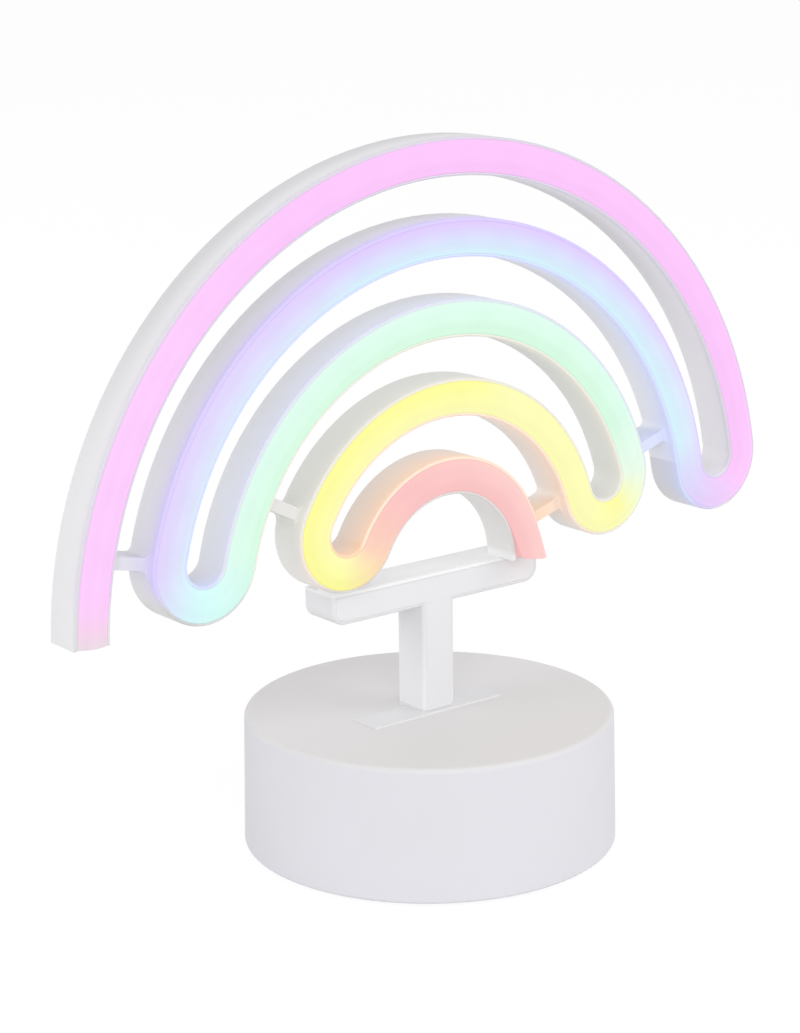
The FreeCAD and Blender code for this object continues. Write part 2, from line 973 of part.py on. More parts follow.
def sign_path(start_trim, end_trim):
    """The five arches joined by four turns, cut short at the two ends."""
    level = size.arch_level.value
    pitch = size.arch_pitch.value
    rise = size.turn_rise.value
    radii = [size.arch_radius.value - index * pitch for index in range(5)]
    bends = []
    angle = 180 - math.degrees(math.asin(size.foot_rise.value / radii[0]) + start_trim / radii[0])
    for index, radius in enumerate(radii):
        to_right = index % 2 == 0
        if index == len(radii) - 1:
            bends.append(Bend(0, level, radius, angle, math.degrees(end_trim / radius)))
            break
        middle = radius - pitch / 2
        lean = math.degrees(math.asin(rise / middle))
        stop = lean if to_right else 180 - lean
        bends.append(Bend(0, level, radius, angle, stop))
        centre = bends[-1].spot(stop, (pitch / 2) * bends[-1].turn)
        half_turn = -180 if to_right else 180
        bends.append(Bend(centre.x, centre.z, pitch / 2, stop, stop + half_turn))
        angle = stop
    return bends


def band(half_width, front, back, start_trim=0.0, end_trim=0.0):
    """A flat ribbon of even width along the path, as deep as the two places given."""
    bends = sign_path(start_trim, end_trim)
    left = [bend.edge(half_width, front) for bend in bends]
    right = [bend.edge(-half_width, front, back=True) for bend in reversed(bends)]
    first, last = bends[0], bends[-1]
    far = Part.LineSegment(
        last.spot(last.end, half_width, front), last.spot(last.end, -half_width, front)
    ).toShape()
    near = Part.LineSegment(
        first.spot(first.start, -half_width, front), first.spot(first.start, half_width, front)
    ).toShape()
    face = Part.Face(Part.Wire(left + [far] + right + [near]))
    return face.extrude(Vector(0, back - front, 0))


def solid_box(across, along, upright):
    """A plain box between pairs of places on the three axes."""
    (left, right), (front, back), (low, high) = across, along, upright
    return Part.makeBox(right - left, back - front, high - low, Vector(left, front, low))


def tee(inset, front, stem_rear, bar_rear, low, round_low):
    """The T of bar and stem, drawn in from its outline by an inset."""
    half = bar_half.value - inset
    floor = bar_low.value + inset
    bar = solid_box((-half, half), (front, bar_rear), (floor, size.arch_level.value - inset))
    radius = size.bar_round.value - inset
    if round_low and radius > 0:
        lower = [
            edge for edge in bar.Edges
            if edge.BoundBox.ZLength < 1e-6
            and abs(edge.BoundBox.ZMin - floor) < 1e-6
            and edge.BoundBox.XLength < 1e-6
        ]
        bar = bar.makeFillet(radius, lower)
    width = size.stem_width.value / 2 - inset
    stem = solid_box((-width, width), (front, stem_rear), (low, bar_middle.value))
    return bar.fuse(stem).removeSplitter()


def edges_at(shape, y):
    """The edges of a shape that lie in one upright plane."""
    return [
        edge for edge in shape.Edges
        if abs(edge.BoundBox.YMin - y) < 1e-6 and abs(edge.BoundBox.YMax - y) < 1e-6
    ]


def tie(outer_index, side, rise):
    """A short radial bridge between an arch and the next one inside it, rounded into both walls."""
    height = getattr(size, rise).value
    pitch = size.arch_pitch.value
    outer = size.arch_radius.value - outer_index * pitch
    wall = size.channel_width.value / 2
    near, far = outer - pitch + wall, outer - wall
    root = size.tie_root.value
    soft = size.tie_round.value
    half = size.tie_width.value / 2
    front = channel_front.value + size.tie_sink.value
    depth = size.channel_depth.value - size.tie_sink.value - size.tie_rear.value

    def fillet(radius, reach, up):
        """The arc that touches the bridge's side and a wall, and its ends on both."""
        centre = Vector(math.sqrt(reach ** 2 - (half + soft) ** 2), front, up * (half + soft))
        on_wall = Vector(centre.x * radius / reach, front, centre.z * radius / reach)
        on_side = Vector(centre.x, front, up * half)
        way = (on_wall - centre) + (on_side - centre)
        return Part.Arc(on_wall, centre + way.normalize() * soft, on_side), on_wall, on_side

    edges = []
    corners = []
    for up in (-1, 1):
        near_arc, near_wall, near_side = fillet(near, near + soft, up)
        far_arc, far_wall, far_side = fillet(far, far - soft, up)
        near_root = Vector(near - root, front, near_wall.z)
        far_root = Vector(far + root, front, far_wall.z)
        edges.extend([
            Part.LineSegment(near_root, near_wall), near_arc,
            Part.LineSegment(near_side, far_side), far_arc,
            Part.LineSegment(far_wall, far_root),
        ])
        corners.append((near_root, far_root))
    edges.extend(Part.LineSegment(*ends) for ends in zip(*corners))
    outline = Part.Wire(Part.sortEdges([edge.toShape() for edge in edges])[0])
    bridge = Part.Face(outline).extrude(Vector(0, depth, 0))
    lean = math.degrees(math.asin(height / (outer - pitch / 2)))
    angle = lean if side > 0 else 180 - lean
    bridge.rotate(Vector(), Vector(0, 1, 0), -angle)
    bridge.translate(Vector(0, 0, size.arch_level.value))
    return bridge


def make_sign_housing():
    """The white moulding: channel, ties, bar, stem, flange and the pegs under it."""
    front = channel_front.value
    back = front + size.channel_depth.value
    half = size.channel_width.value / 2
    body = band(half, front, back)
    body = body.makeChamfer(size.lip_edge.value, edges_at(body, front))
    body = body.makeChamfer(size.rear_edge.value, edges_at(body, back))
    tee_front = stem_front.value
    bar_rear = tee_front + size.bar_depth.value
    post = tee(0.0, tee_front, stem_back.value, bar_rear, base_crown.value, True)
    post = post.makeFillet(size.tee_edge.value, edges_at(post, tee_front))
    last_turn = inner_radius.value + size.arch_pitch.value / 2
    turn_x = -math.sqrt(last_turn ** 2 - size.turn_rise.value ** 2)
    reach = size.saddle_length.value / 2
    level = size.arch_level.value
    saddle = solid_box(
        (-bar_half.value, turn_x + reach), (tee_front, back),
        (level - size.tray_rest.value, level + size.saddle_rise.value),
    )
    flange_left = -size.flange_shift.value - size.flange_length.value / 2
    flange = solid_box(
        (flange_left, flange_left + size.flange_length.value),
        (flange_front.value, flange_front.value + size.flange_depth.value),
        (base_crown.value, flange_top.value),
    )
    rim = [edge for edge in flange.Edges if abs(edge.BoundBox.ZMin - flange_top.value) < 1e-6]
    flange = flange.makeFillet(size.flange_edge.value, rim)
    peg_length = size.base_top.value - size.slip.value
    pegs = [
        Part.makeCylinder(
            size.peg_radius.value, peg_length,
            Vector(peg_place(side).value, flange_middle.value, base_crown.value - peg_length),
        )
        for side in (-1, 1)
    ]
    ties = [tie(*place) for place in TIES]
    whole = body.multiFuse([post, saddle, flange] + pegs + ties)

    floor = back - size.floor_thick.value
    wall = size.end_wall.value
    lens_half = half - size.lip_thick.value
    lights = band(lens_half - size.rest_width.value, front, floor, wall, wall)
    lens_floor = front + size.lens_sink.value
    lens = band(lens_half, front, lens_floor, -wall, -wall)
    cover_back = tee_front + size.cover_thick.value
    margin = size.cover_margin.value
    rebate = tee(margin, tee_front, cover_back, cover_back, flange_top.value, True)
    wall_in = margin + size.tray_rest.value
    hollow = tee(
        wall_in, tee_front, stem_back.value - size.tray_back.value,
        bar_rear - size.tray_back.value, base_crown.value, True,
    )
    last_radius = inner_radius.value
    light_half = lens_half - size.rest_width.value
    passage = solid_box(
        (last_radius - light_half, last_radius + light_half),
        (cover_back, floor), (level - wall_in - wall, level + 2 * wall),
    )
    shank = size.screw_radius.value
    shanks = [
        Part.makeCylinder(
            shank, peg_length,
            Vector(peg_place(side).value, flange_middle.value, base_crown.value - peg_length),
        )
        for side in (-1, 1)
    ]
    hollows = [lights, lens, rebate, hollow, passage]
    shaped("sign_housing", whole.cut(hollows + shanks).removeSplitter())


def make_stem_cover():
    """The T-shaped cover let into the front of the bar and the stem."""
    front = stem_front.value
    back = front + size.cover_thick.value
    inset = size.cover_margin.value + size.fit.value
    low = flange_top.value + size.fit.value
    shaped("stem_cover", tee(inset, front, back, back, low, True))


def make_diffuser():
    """The milky strip: straight sides in the channel and a domed front."""
    front = channel_front.value
    floor = front + size.lens_sink.value
    half = size.channel_width.value / 2 - size.lip_thick.value - size.slip.value
    crown = front - size.lens_crown.value
    pieces = []
    for bend in sign_path(size.slip.value, -size.lens_tail.value):
        def at(side, y):
            return bend.spot(bend.start, side, y)
        dome = Part.Arc(at(-half, front), at(0, crown), at(half, front)).toShape()
        sides = [
            Part.LineSegment(at(half, front), at(half, floor)).toShape(),
            Part.LineSegment(at(half, floor), at(-half, floor)).toShape(),
            Part.LineSegment(at(-half, floor), at(-half, front)).toShape(),
        ]
        section = Part.Face(Part.Wire([dome] + sides))
        sweep = bend.start - bend.end
        pieces.append(section.revolve(Vector(bend.x, 0, bend.z), Vector(0, 1, 0), sweep))
    shaped("neon_diffuser", pieces[0].multiFuse(pieces[1:]).removeSplitter())


def make_lights():
    """The bendable light board on the channel floor and the diodes along it."""
    floor = channel_front.value + size.channel_depth.value - size.floor_thick.value
    top = floor - size.light_thick.value
    half = size.light_width.value / 2
    trim = size.end_wall.value + size.slip.value
    strip = band(half, top, floor, trim)
    last_radius = inner_radius.value
    level = size.arch_level.value
    tail = solid_box(
        (last_radius - half, last_radius + half), (top, floor), (level - size.light_tail.value, level),
    )
    shaped("led_strip", strip.fuse(tail).removeSplitter())

    step = size.diode_step.value
    wide, tall, long = size.diode_width.value, size.diode_height.value, size.diode_length.value
    chips = []
    run = step / 2
    for bend in sign_path(trim, 0.0):
        length = bend.length()
        while run < length:
            angle = bend.start + bend.turn * math.degrees(run / bend.radius)
            chip = Part.makeBox(wide, tall, long, Vector(-wide / 2, top - tall, -long / 2))
            chip.rotate(Vector(), Vector(0, 1, 0), -angle)
            chip.translate(bend.spot(angle))
            chips.append(chip)
            run += step
        run -= length
    shaped("led_chips", Part.makeCompound(chips))


# Leads

def lead(label, points):
    """A round wire along straight runs with equal tangent bends."""
    bend = size.lead_bend.value
    edges = []
    start = points[0]
    for before, corner, after in zip(points, points[1:], points[2:]):
        way_in = (corner - before).normalize()
        way_out = (after - corner).normalize()
        half_turn = way_in.getAngle(way_out) / 2
        cut = bend * math.tan(half_turn)
        enter = corner - way_in * cut
        leave = corner + way_out * cut
        edges.append(Part.LineSegment(start, enter).toShape())
        edges.append(tangent_arc(enter, corner, leave))
        start = leave
    edges.append(Part.LineSegment(start, points[-1]).toShape())
    path = Part.Wire(edges)
    way = (points[1] - points[0]).normalize()
    ring = Part.Wire([Part.Circle(points[0], way, size.lead_radius.value).toShape()])
    shaped(label, path.makePipeShell([ring], True, False))


def make_leads():
    """Pairs of wires from the cells, from the switch and up the stem to the light board."""
    board = board_top.value
    over = board + size.lead_rise.value
    face = (tray_along - size.sheet_thick / 2).value
    tab_top = (tray_roof + size.tab_rise).value
    pad = size.board_length.value / 2 - size.lead_bend.value
    for name, side in (("negative", -1), ("positive", 1)):
        row = side * size.tab_offset.value
        rows_end = row - side * size.lead_bend.value
        lead(f"battery_lead_{name}", [
            Vector(side * face, row, tab_top),
            Vector(side * face, row, over),
            Vector(side * pad, rows_end, over),
            Vector(side * pad, rows_end, board),
        ])

    space = size.lead_space.value
    rear = switch_back.value
    edge = size.board_width.value / 2
    drop = edge - size.lead_bend.value
    half_way = (rear + edge) / 2
    low = size.switch_height.value
    for name, side in (("left", -1), ("right", 1)):
        x = 2 * side * space
        lead(f"switch_lead_{name}", [
            Vector(x, rear, low),
            Vector(x, half_way, low),
            Vector(x, half_way, over),
            Vector(x, drop, over),
            Vector(x, drop, board),
        ])

    y = lead_y.value
    last_radius = inner_radius.value
    solder = last_radius - size.light_width.value / 2
    for name, side in (("negative", -1), ("positive", 1)):
        x = side * space
        z = bar_middle.value - side * space
        lead(f"sign_lead_{name}", [
            Vector(x, y, board),
            Vector(x, y, z),
            Vector(solder, y, z),
        ])


make_base_shell()
make_base_plate()
make_battery_door()
make_base_fasteners()
make_cells()
make_contacts()
make_springs()
make_board()
make_switch()
make_sign_housing()
make_stem_cover()
make_diffuser()
make_lights()
make_leads()
doc.recompute()

for item in doc.Objects:
    if "Invalid" in item.State or "Error" in item.State:
        raise RuntimeError(f"{item.Label} did not build")
for item in nodes:
    if item.Shape.isNull() or not item.Shape.isValid():
        raise RuntimeError(f"{item.Label} has no valid shape")

os.makedirs("parts", exist_ok=True)
for item in nodes:
    item.Shape.exportStep(f"parts/{item.Label}.step")
    print(f"{item.Label}: {len(item.Shape.Solids)} solids, {item.Shape.Volume:.1f} cubic mm")
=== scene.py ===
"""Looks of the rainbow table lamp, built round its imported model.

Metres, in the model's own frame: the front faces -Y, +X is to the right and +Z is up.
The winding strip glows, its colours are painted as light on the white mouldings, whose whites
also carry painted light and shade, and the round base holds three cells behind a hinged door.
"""
import logging
import math
from dataclasses import dataclass, field
from enum import Enum
from typing import Callable, Iterable, Mapping, Optional, Sequence, Union

import bmesh
import bpy
from bpy.types import ID, ColorRamp, Material, Mesh, Modifier, NodeSocket, NodeTree, Object
from mathutils import Matrix, Vector


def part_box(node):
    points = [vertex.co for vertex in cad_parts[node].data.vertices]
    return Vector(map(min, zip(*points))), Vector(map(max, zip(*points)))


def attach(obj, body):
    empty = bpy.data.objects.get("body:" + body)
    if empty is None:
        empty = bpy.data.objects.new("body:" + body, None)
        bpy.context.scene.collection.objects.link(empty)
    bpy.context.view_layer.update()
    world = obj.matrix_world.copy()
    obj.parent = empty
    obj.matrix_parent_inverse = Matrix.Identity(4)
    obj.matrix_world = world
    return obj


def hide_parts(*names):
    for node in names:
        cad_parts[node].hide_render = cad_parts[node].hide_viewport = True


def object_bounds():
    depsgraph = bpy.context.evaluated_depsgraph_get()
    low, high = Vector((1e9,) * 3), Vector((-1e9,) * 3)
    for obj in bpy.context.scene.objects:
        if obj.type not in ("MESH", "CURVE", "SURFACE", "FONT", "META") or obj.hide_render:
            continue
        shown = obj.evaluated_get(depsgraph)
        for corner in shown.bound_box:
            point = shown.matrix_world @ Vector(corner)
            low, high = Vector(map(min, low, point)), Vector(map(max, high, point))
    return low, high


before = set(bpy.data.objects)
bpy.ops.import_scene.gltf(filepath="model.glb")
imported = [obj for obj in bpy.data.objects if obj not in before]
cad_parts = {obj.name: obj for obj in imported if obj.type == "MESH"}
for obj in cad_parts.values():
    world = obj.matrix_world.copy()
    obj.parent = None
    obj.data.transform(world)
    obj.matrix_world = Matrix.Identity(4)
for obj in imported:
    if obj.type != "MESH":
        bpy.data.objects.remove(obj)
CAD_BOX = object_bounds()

LOG = logging.getLogger("rainbow_lamp")
MM = 0.001
HAIR = 0.001 * MM  # a length that counts as none
WHITE = (1.0, 1.0, 1.0)

Triple = tuple[float, float, float]
Colour = Triple
Span = tuple[float, float]
Stops = tuple[tuple[float, Colour], ...]
Inputs = dict[str, object]
Key = Union[int, str]
Value = Union[int, float, "Socket"]


class Body(Enum):
    """The bodies that new pieces ride on."""

    LAMP = "lamp"
    DOOR = "door"


class Slot(Enum):
    """The record's material slots named for new pieces; the script does not set them."""

    STEEL = "steel"
    RUBBER = "rubber_pad"
    MILKY = "milky_diffuser"


def tone(*levels: int) -> Colour:
    """Turns a screen colour into the linear colour that a shader takes.

    Args:
        levels: Red, green and blue, from 0 to 255.

    Returns:
        The linear colour.
    """
    shares = (level / 255 for level in levels)
    return tuple(
        share / 12.92 if share <= 0.04045 else ((share + 0.055) / 1.055) ** 2.4
        for share in shares
    )


def spin(degrees: float, axis: str) -> Matrix:
    """A turn about an axis."""
    return Matrix.Rotation(math.radians(degrees), 4, axis)


# Node trees

def operator(operation: str, turned: bool = False) -> Callable[..., "Socket"]:
    """Makes an operator for sockets.

    Args:
        operation: The Math node's operation.
        turned: Whether the other value comes first.

    Returns:
        The operator, as a method of a socket.
    """
    def method(self: "Socket", *others: Value) -> "Socket":
        """Works on the socket and the other value, if there is one."""
        return self.graph.math(operation, *((*others, self) if turned else (self, *others)))

    return method


class Socket:
    """A node's output that takes part in Python arithmetic."""

    def __init__(self, graph: "Graph", end: NodeSocket) -> None:
        """Keeps the output and the tree that it belongs to."""
        self.graph = graph
        self.end = end

    __add__ = __radd__ = operator("ADD")
    __mul__ = __rmul__ = operator("MULTIPLY")
    __sub__ = operator("SUBTRACT")
    __rsub__ = operator("SUBTRACT", turned=True)
    __truediv__ = operator("DIVIDE")
    __pow__ = operator("POWER")
    __abs__ = operator("ABSOLUTE")
    __gt__ = operator("GREATER_THAN")

    def __neg__(self) -> "Socket":
        """Turns the sign."""
        return 0.0 - self


class Graph:
    """A node tree with one method that makes its nodes."""

    def __init__(self, tree: NodeTree) -> None:
        """Takes over an empty tree."""
        self.tree = tree

    def node(
        self,
        kind: str,
        inputs: Optional[Mapping[Key, object]] = None,
        settings: Optional[Mapping[str, object]] = None,
        output: Key = 0,
    ) -> Optional[Socket]:
        """Makes a node, sets it up and feeds its sockets.

        Args:
            kind: The node's type.
            inputs: Values or sockets, by the name or the number of the input.
            settings: Its own properties; a ramp's stops are pairs of place and colour.
            output: The output to hand back.

        Returns:
            The chosen output, or None for a node that ends a tree.
        """
        made = self.tree.nodes.new(kind)
        for name, value in (settings or {}).items():
            if name == "stops":
                self.fill_ramp(made.color_ramp, value)
            else:
                setattr(made, name, value)
        for key, value in (inputs or {}).items():
            self.feed(made.inputs[key], value)
        return Socket(self, made.outputs[output]) if made.outputs else None

    def feed(self, target: NodeSocket, value: object) -> None:
        """Links a socket to an input, or sets the input's own value.

        Args:
            target: The input.
            value: A socket, a number, a colour, a vector or a name.
        """
        if isinstance(value, Socket):
            self.tree.links.new(value.end, target)
        elif target.type == "RGBA":
            target.default_value = (*value, 1.0)
        else:
            target.default_value = value

    @staticmethod
    def fill_ramp(ramp: ColorRamp, stops: Stops) -> None:
        """Gives a ramp its stops.

        Args:
            ramp: The ramp of a new node, which has two stops.
            stops: Places from 0 to 1 and their colours, in order.
        """
        while len(ramp.elements) < len(stops):
            ramp.elements.new(1.0)
        for element, (place, colour) in zip(ramp.elements, stops):
            element.position = place
            element.color = (*colour, 1.0)

    def math(self, operation: str, *values: Value) -> Socket:
        """A Math node on up to three values."""
        return self.node("ShaderNodeMath", dict(enumerate(values)), {"operation": operation})

    def split(self, vector: Socket) -> tuple[Socket, Socket, Socket]:
        """The three parts of a vector."""
        parts = self.node("ShaderNodeSeparateXYZ", {"Vector": vector})
        return tuple(Socket(self, end) for end in parts.end.node.outputs)

    def join(self, x: Value, y: Value, z: Value) -> Socket:
        """A vector of three parts."""
        return self.node("ShaderNodeCombineXYZ", {"X": x, "Y": y, "Z": z})

    def clamp(self, value: Value, low: float = 0.0, high: float = 1.0) -> Socket:
        """A value kept between two bounds."""
        return self.node("ShaderNodeClamp", {"Value": value, "Min": low, "Max": high})


class Shader(Graph):
    """The node tree of one material."""

    def __init__(self, name: str) -> None:
        """Starts an empty material.

        Args:
            name: The material's name.
        """
        self.material = bpy.data.materials.new(name)
        self.material.use_nodes = True
        super().__init__(self.material.node_tree)
        self.tree.nodes.clear()

    def place(self) -> Socket:
        """Where a point is on the lamp, in metres."""
        return self.node("ShaderNodeTexCoord", output="Object")

    def attribute(self, name: str) -> Socket:
        """A number that the mesh keeps at each point."""
        return self.node("ShaderNodeAttribute", settings={"attribute_name": name}, output="Fac")

    def noise(self, vector: Socket, texture: "Texture") -> Socket:
        """Soft noise from 0 to 1, of a texture's scale and detail."""
        return self.node("ShaderNodeTexNoise", {
            "Vector": vector, "Scale": texture.scale, "Detail": texture.detail,
        })

    def ramp(self, factor: Value, stops: Stops) -> Socket:
        """A colour that runs through stops."""
        return self.node("ShaderNodeValToRGB", {"Fac": factor}, {"stops": stops})

    def mix(self, factor: Value, first: object, second: object) -> Socket:
        """A colour between two colours."""
        return self.node(
            "ShaderNodeMix", {0: factor, 6: first, 7: second}, {"data_type": "RGBA"}, output=2,
        )

    def dim(self, colour: Socket, amount: Value) -> Socket:
        """A colour times a number."""
        return self.node(
            "ShaderNodeVectorMath", {"Vector": colour, "Scale": amount}, {"operation": "SCALE"},
        )

    def rise(self, value: Socket, start: float, end: float) -> Socket:
        """A smooth step from 0 at the start to 1 at the end."""
        return self.node(
            "ShaderNodeMapRange", {"Value": value, "From Min": start, "From Max": end},
            {"interpolation_type": "SMOOTHSTEP"},
        )

    def bump(self, height: Socket, depth: float) -> Socket:
        """A normal that follows a height of a given depth in metres."""
        return self.node("ShaderNodeBump", {"Height": height, "Distance": depth})

    def surface(self, inputs: Inputs) -> Material:
        """Ends the tree in a surface.

        Args:
            inputs: Sockets and values by the input's name.

        Returns:
            The finished material.
        """
        surface = self.node("ShaderNodeBsdfPrincipled", inputs)
        self.node("ShaderNodeOutputMaterial", {"Surface": surface})
        return self.material


class Form(Graph):
    """A geometry tree with named inputs for its sizes."""

    WHOLE = "NodeSocketGeometry"
    KINDS = {
        float: "NodeSocketFloat",
        int: "NodeSocketInt",
        Object: "NodeSocketObject",
        Material: "NodeSocketMaterial",
    }

    def __init__(self, name: str) -> None:
        """Starts an empty tree that takes and gives geometry.

        Args:
            name: The tree's name.
        """
        super().__init__(bpy.data.node_groups.new(name, "GeometryNodeTree"))
        for way in ("INPUT", "OUTPUT"):
            self.tree.interface.new_socket("Geometry", in_out=way, socket_type=self.WHOLE)
        self.values: Inputs = {}

    def size(self, name: str, value: object) -> Socket:
        """Adds a named input.

        Args:
            name: The input's name.
            value: What this build sets it to.

        Returns:
            The input, for use in the tree.
        """
        kind = next(made for sort, made in self.KINDS.items() if isinstance(value, sort))
        item = self.tree.interface.new_socket(name, in_out="INPUT", socket_type=kind)
        self.values[item.identifier] = value
        return self.node("NodeGroupInput", output=name)

    def base(self) -> Socket:
        """The geometry that the tree starts from."""
        return self.node("NodeGroupInput", output="Geometry")

    def keep(self, geometry: Socket, name: str, value: Socket) -> Socket:
        """Keeps a number at each point under a name."""
        return self.node("GeometryNodeStoreNamedAttribute", {
            "Geometry": geometry, "Name": name, "Value": value,
        })

    def kept(self, name: str) -> Socket:
        """A number that was kept under a name."""
        return self.node("GeometryNodeInputNamedAttribute", {"Name": name}, {"data_type": "FLOAT"})

    def close(self, geometry: Socket, material: Material) -> None:
        """Ends the tree in plain geometry with its material.

        Args:
            geometry: What the tree has made.
            material: The finish of all its faces.
        """
        plain = self.node("GeometryNodeRealizeInstances", {"Geometry": geometry})
        finish = self.size("Finish", material)
        dressed = self.node("GeometryNodeSetMaterial", {"Geometry": plain, "Material": finish})
        self.node("NodeGroupOutput", {"Geometry": dressed})

    def grow(self, carrier: Object) -> Mesh:
        """Runs the tree on an object and keeps the result as a plain mesh.

        Args:
            carrier: The object whose geometry the tree starts from; it is removed.

        Returns:
            The mesh.
        """
        modifier = carrier.modifiers.new(self.tree.name, "NODES")
        modifier.node_group = self.tree
        for identifier, value in self.values.items():
            modifier[identifier] = value
        mesh = applied(carrier, modifier)
        bpy.data.objects.remove(carrier)
        return mesh


# Pieces

def shown(name: str, data: ID) -> Object:
    """Links a new object into the scene.

    Args:
        name: The object's name.
        data: Its mesh, curve, light or camera.

    Returns:
        The object.
    """
    item = bpy.data.objects.new(name, data)
    bpy.context.scene.collection.objects.link(item)
    return item


def applied(carrier: Object, modifier: Modifier) -> Mesh:
    """Works out an object's modifier.

    Args:
        carrier: The object.
        modifier: Its one modifier, which is removed.

    Returns:
        The result as a plain mesh.
    """
    evaluated = carrier.evaluated_get(bpy.context.evaluated_depsgraph_get())
    mesh = bpy.data.meshes.new_from_object(evaluated)
    carrier.modifiers.remove(modifier)
    return mesh


def tidy_mesh(mesh: Mesh, crease: float = 35.0) -> Mesh:
    """Merges doubles, turns faces outwards and shades smooth up to a crease angle.

    Args:
        mesh: A closed mesh.
        crease: The sharpest edge that stays smooth, in degrees.

    Returns:
        The same mesh.
    """
    work = bmesh.new()
    work.from_mesh(mesh)
    bmesh.ops.remove_doubles(work, verts=work.verts, dist=HAIR)
    bmesh.ops.recalc_face_normals(work, faces=work.faces)
    work.to_mesh(mesh)
    work.free()
    mesh.shade_smooth()
    mesh.set_sharp_from_angle(angle=math.radians(crease))
    return mesh


def settle(name: str, mesh: Mesh, body: Body, slot: Slot, *nodes: str) -> Object:
    """Puts a new piece on its body in place of the solids that it stands for.

    Args:
        name: The piece's name.
        mesh: Its mesh, in the model's frame.
        body: The body that it rides on.
        slot: The record's slot of its finish; not used.
        nodes: The solids that it replaces.

    Returns:
        The piece.
    """
    piece = shown(name, mesh)
    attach(piece, body.value)
    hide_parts(*nodes)
    LOG.info("%s made, %d faces", name, len(mesh.polygons))
    return piece


def dress(finish: "Finish", *nodes: str) -> None:
    """Gives a finish to solids that stay as they are.

    Args:
        finish: The finish.
        nodes: The solids.
    """
    for name in nodes:
        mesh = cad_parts[name].data
        mesh.materials.clear()
        mesh.materials.append(finish.material())
        LOG.info("%s dressed in %s", name, finish.name)


def lathe(name: str, profile: Iterable[Span], segments: int = 48) -> Mesh:
    """Turns a profile about the Z axis into a closed form.

    Args:
        name: The mesh's name.
        profile: Pairs of radius and height; the ends lie on the axis.
        segments: Steps round the axis.

    Returns:
        The mesh.
    """
    work = bmesh.new()
    spots = [work.verts.new((radius, 0.0, height)) for radius, height in profile]
    edges = [work.edges.new(pair) for pair in zip(spots, spots[1:])]
    bmesh.ops.spin(
        work, geom=spots + edges, cent=(0, 0, 0), axis=(0, 0, 1),
        angle=math.tau, steps=segments,
    )
    mesh = bpy.data.meshes.new(name)
    work.to_mesh(mesh)
    work.free()
    return tidy_mesh(mesh)


def soft_edge(radius: float, edge: float, share: float = 0.3) -> tuple[Span, Span]:
    """The two points of a profile that round its lower edge."""
    step = share * edge
    return (radius - step, step), (radius, edge)


def repeat(name: str, template: Object, places: Sequence[Vector], finish: "Finish") -> Mesh:
    """Copies one form to several places.

    Args:
        name: The tree's name.
        template: The form, which is removed afterwards.
        places: Where the copies go.
        finish: The finish of all of them.

    Returns:
        One mesh of all the copies.
    """
    spots = bpy.data.meshes.new(name)
    spots.from_pydata([tuple(place) for place in places], [], [])
    form = Form(name)
    source = form.node("GeometryNodeObjectInfo", {
        "Object": form.size("Form", template), "As Instance": True,
    }, output="Geometry")
    points = form.node("GeometryNodeMeshToPoints", {"Mesh": form.base()})
    copies = form.node("GeometryNodeInstanceOnPoints", {"Points": points, "Instance": source})
    form.close(copies, finish.material())
    mesh = form.grow(shown(name, spots))
    bpy.data.objects.remove(template)
    return mesh


# Finishes

@dataclass(frozen=True)
class Texture:
    """A pattern of a finish, which swings the roughness and may stand out by a depth.

    The scale is in waves to the unit.
    """

    scale: float
    detail: float = 2.0
    swing: float = 0.0
    depth: float = 0.0


@dataclass(frozen=True)
class Finish:
    """A named finish that is made once and then shared.

    The cloud is a broad pattern and the grain a fine one. The grain stands out, or the cloud
    where a finish has no grain.
    """

    name: str
    rough: float
    cloud: Texture
    grain: Optional[Texture] = None
    gloss: float = 0.5

    def material(self) -> Material:
        """The finish's material, made at the first call."""
        return bpy.data.materials.get(self.name) or self.make()

    def make(self) -> Material:
        """Builds the material.

        Returns:
            The finished material.
        """
        shader = Shader(self.name)
        place = self.place(shader)
        cloud = shader.noise(place, self.cloud)
        rough = self.rough + self.cloud.swing * (cloud - 0.5)
        height, depth = cloud, self.cloud.depth
        if self.grain:
            height, depth = self.relief(shader, place), self.grain.depth
            rough = rough + self.grain.swing * (height - 0.5)
        inputs = {"Roughness": rough, "Specular IOR Level": self.gloss}
        if depth:
            inputs["Normal"] = shader.bump(height, depth)
        return shader.surface({**inputs, **self.looks(shader, place, cloud)})

    def place(self, shader: Shader) -> Socket:
        """Where a point is in the finish's patterns."""
        return shader.place()

    def relief(self, shader: Shader, place: Socket) -> Socket:
        """The height of the grain at a place, about a middle of one half."""
        return shader.noise(place, self.grain)

    def looks(self, shader: Shader, place: Socket, cloud: Socket) -> Inputs:
        """Works out the finish's own inputs of the surface.

        Args:
            shader: The material's tree.
            place: Where a point is in the finish's patterns.
            cloud: The broad pattern there, from 0 to 1.

        Returns:
            Sockets and values by the input's name.
        """
        raise NotImplementedError


@dataclass(frozen=True)
class Tinted(Finish):
    """A finish whose cloud runs from one colour to another, softly or in patches."""

    colour: Colour = WHITE
    shade: Colour = WHITE
    patch: Optional[Span] = None
    metal: float = 0.0
    shine: float = 0.0

    def plain(self, shader: Shader, cloud: Socket) -> Socket:
        """The tint at a height of the cloud."""
        share = shader.rise(cloud, *self.patch) if self.patch else cloud
        return shader.mix(share, self.colour, self.shade)

    def looks(self, shader: Shader, place: Socket, cloud: Socket) -> Inputs:
        """Tints the surface, which may shine.

        Args:
            shader: The material's tree.
            place: Where a point is on the lamp; not used.
            cloud: The broad pattern there, from 0 to 1.

        Returns:
            The tint, how metallic it is, and its light.
        """
        plain = self.plain(shader, cloud)
        light = {"Emission Color": plain, "Emission Strength": self.shine} if self.shine else {}
        return {"Base Color": plain, "Metallic": self.metal, **light}


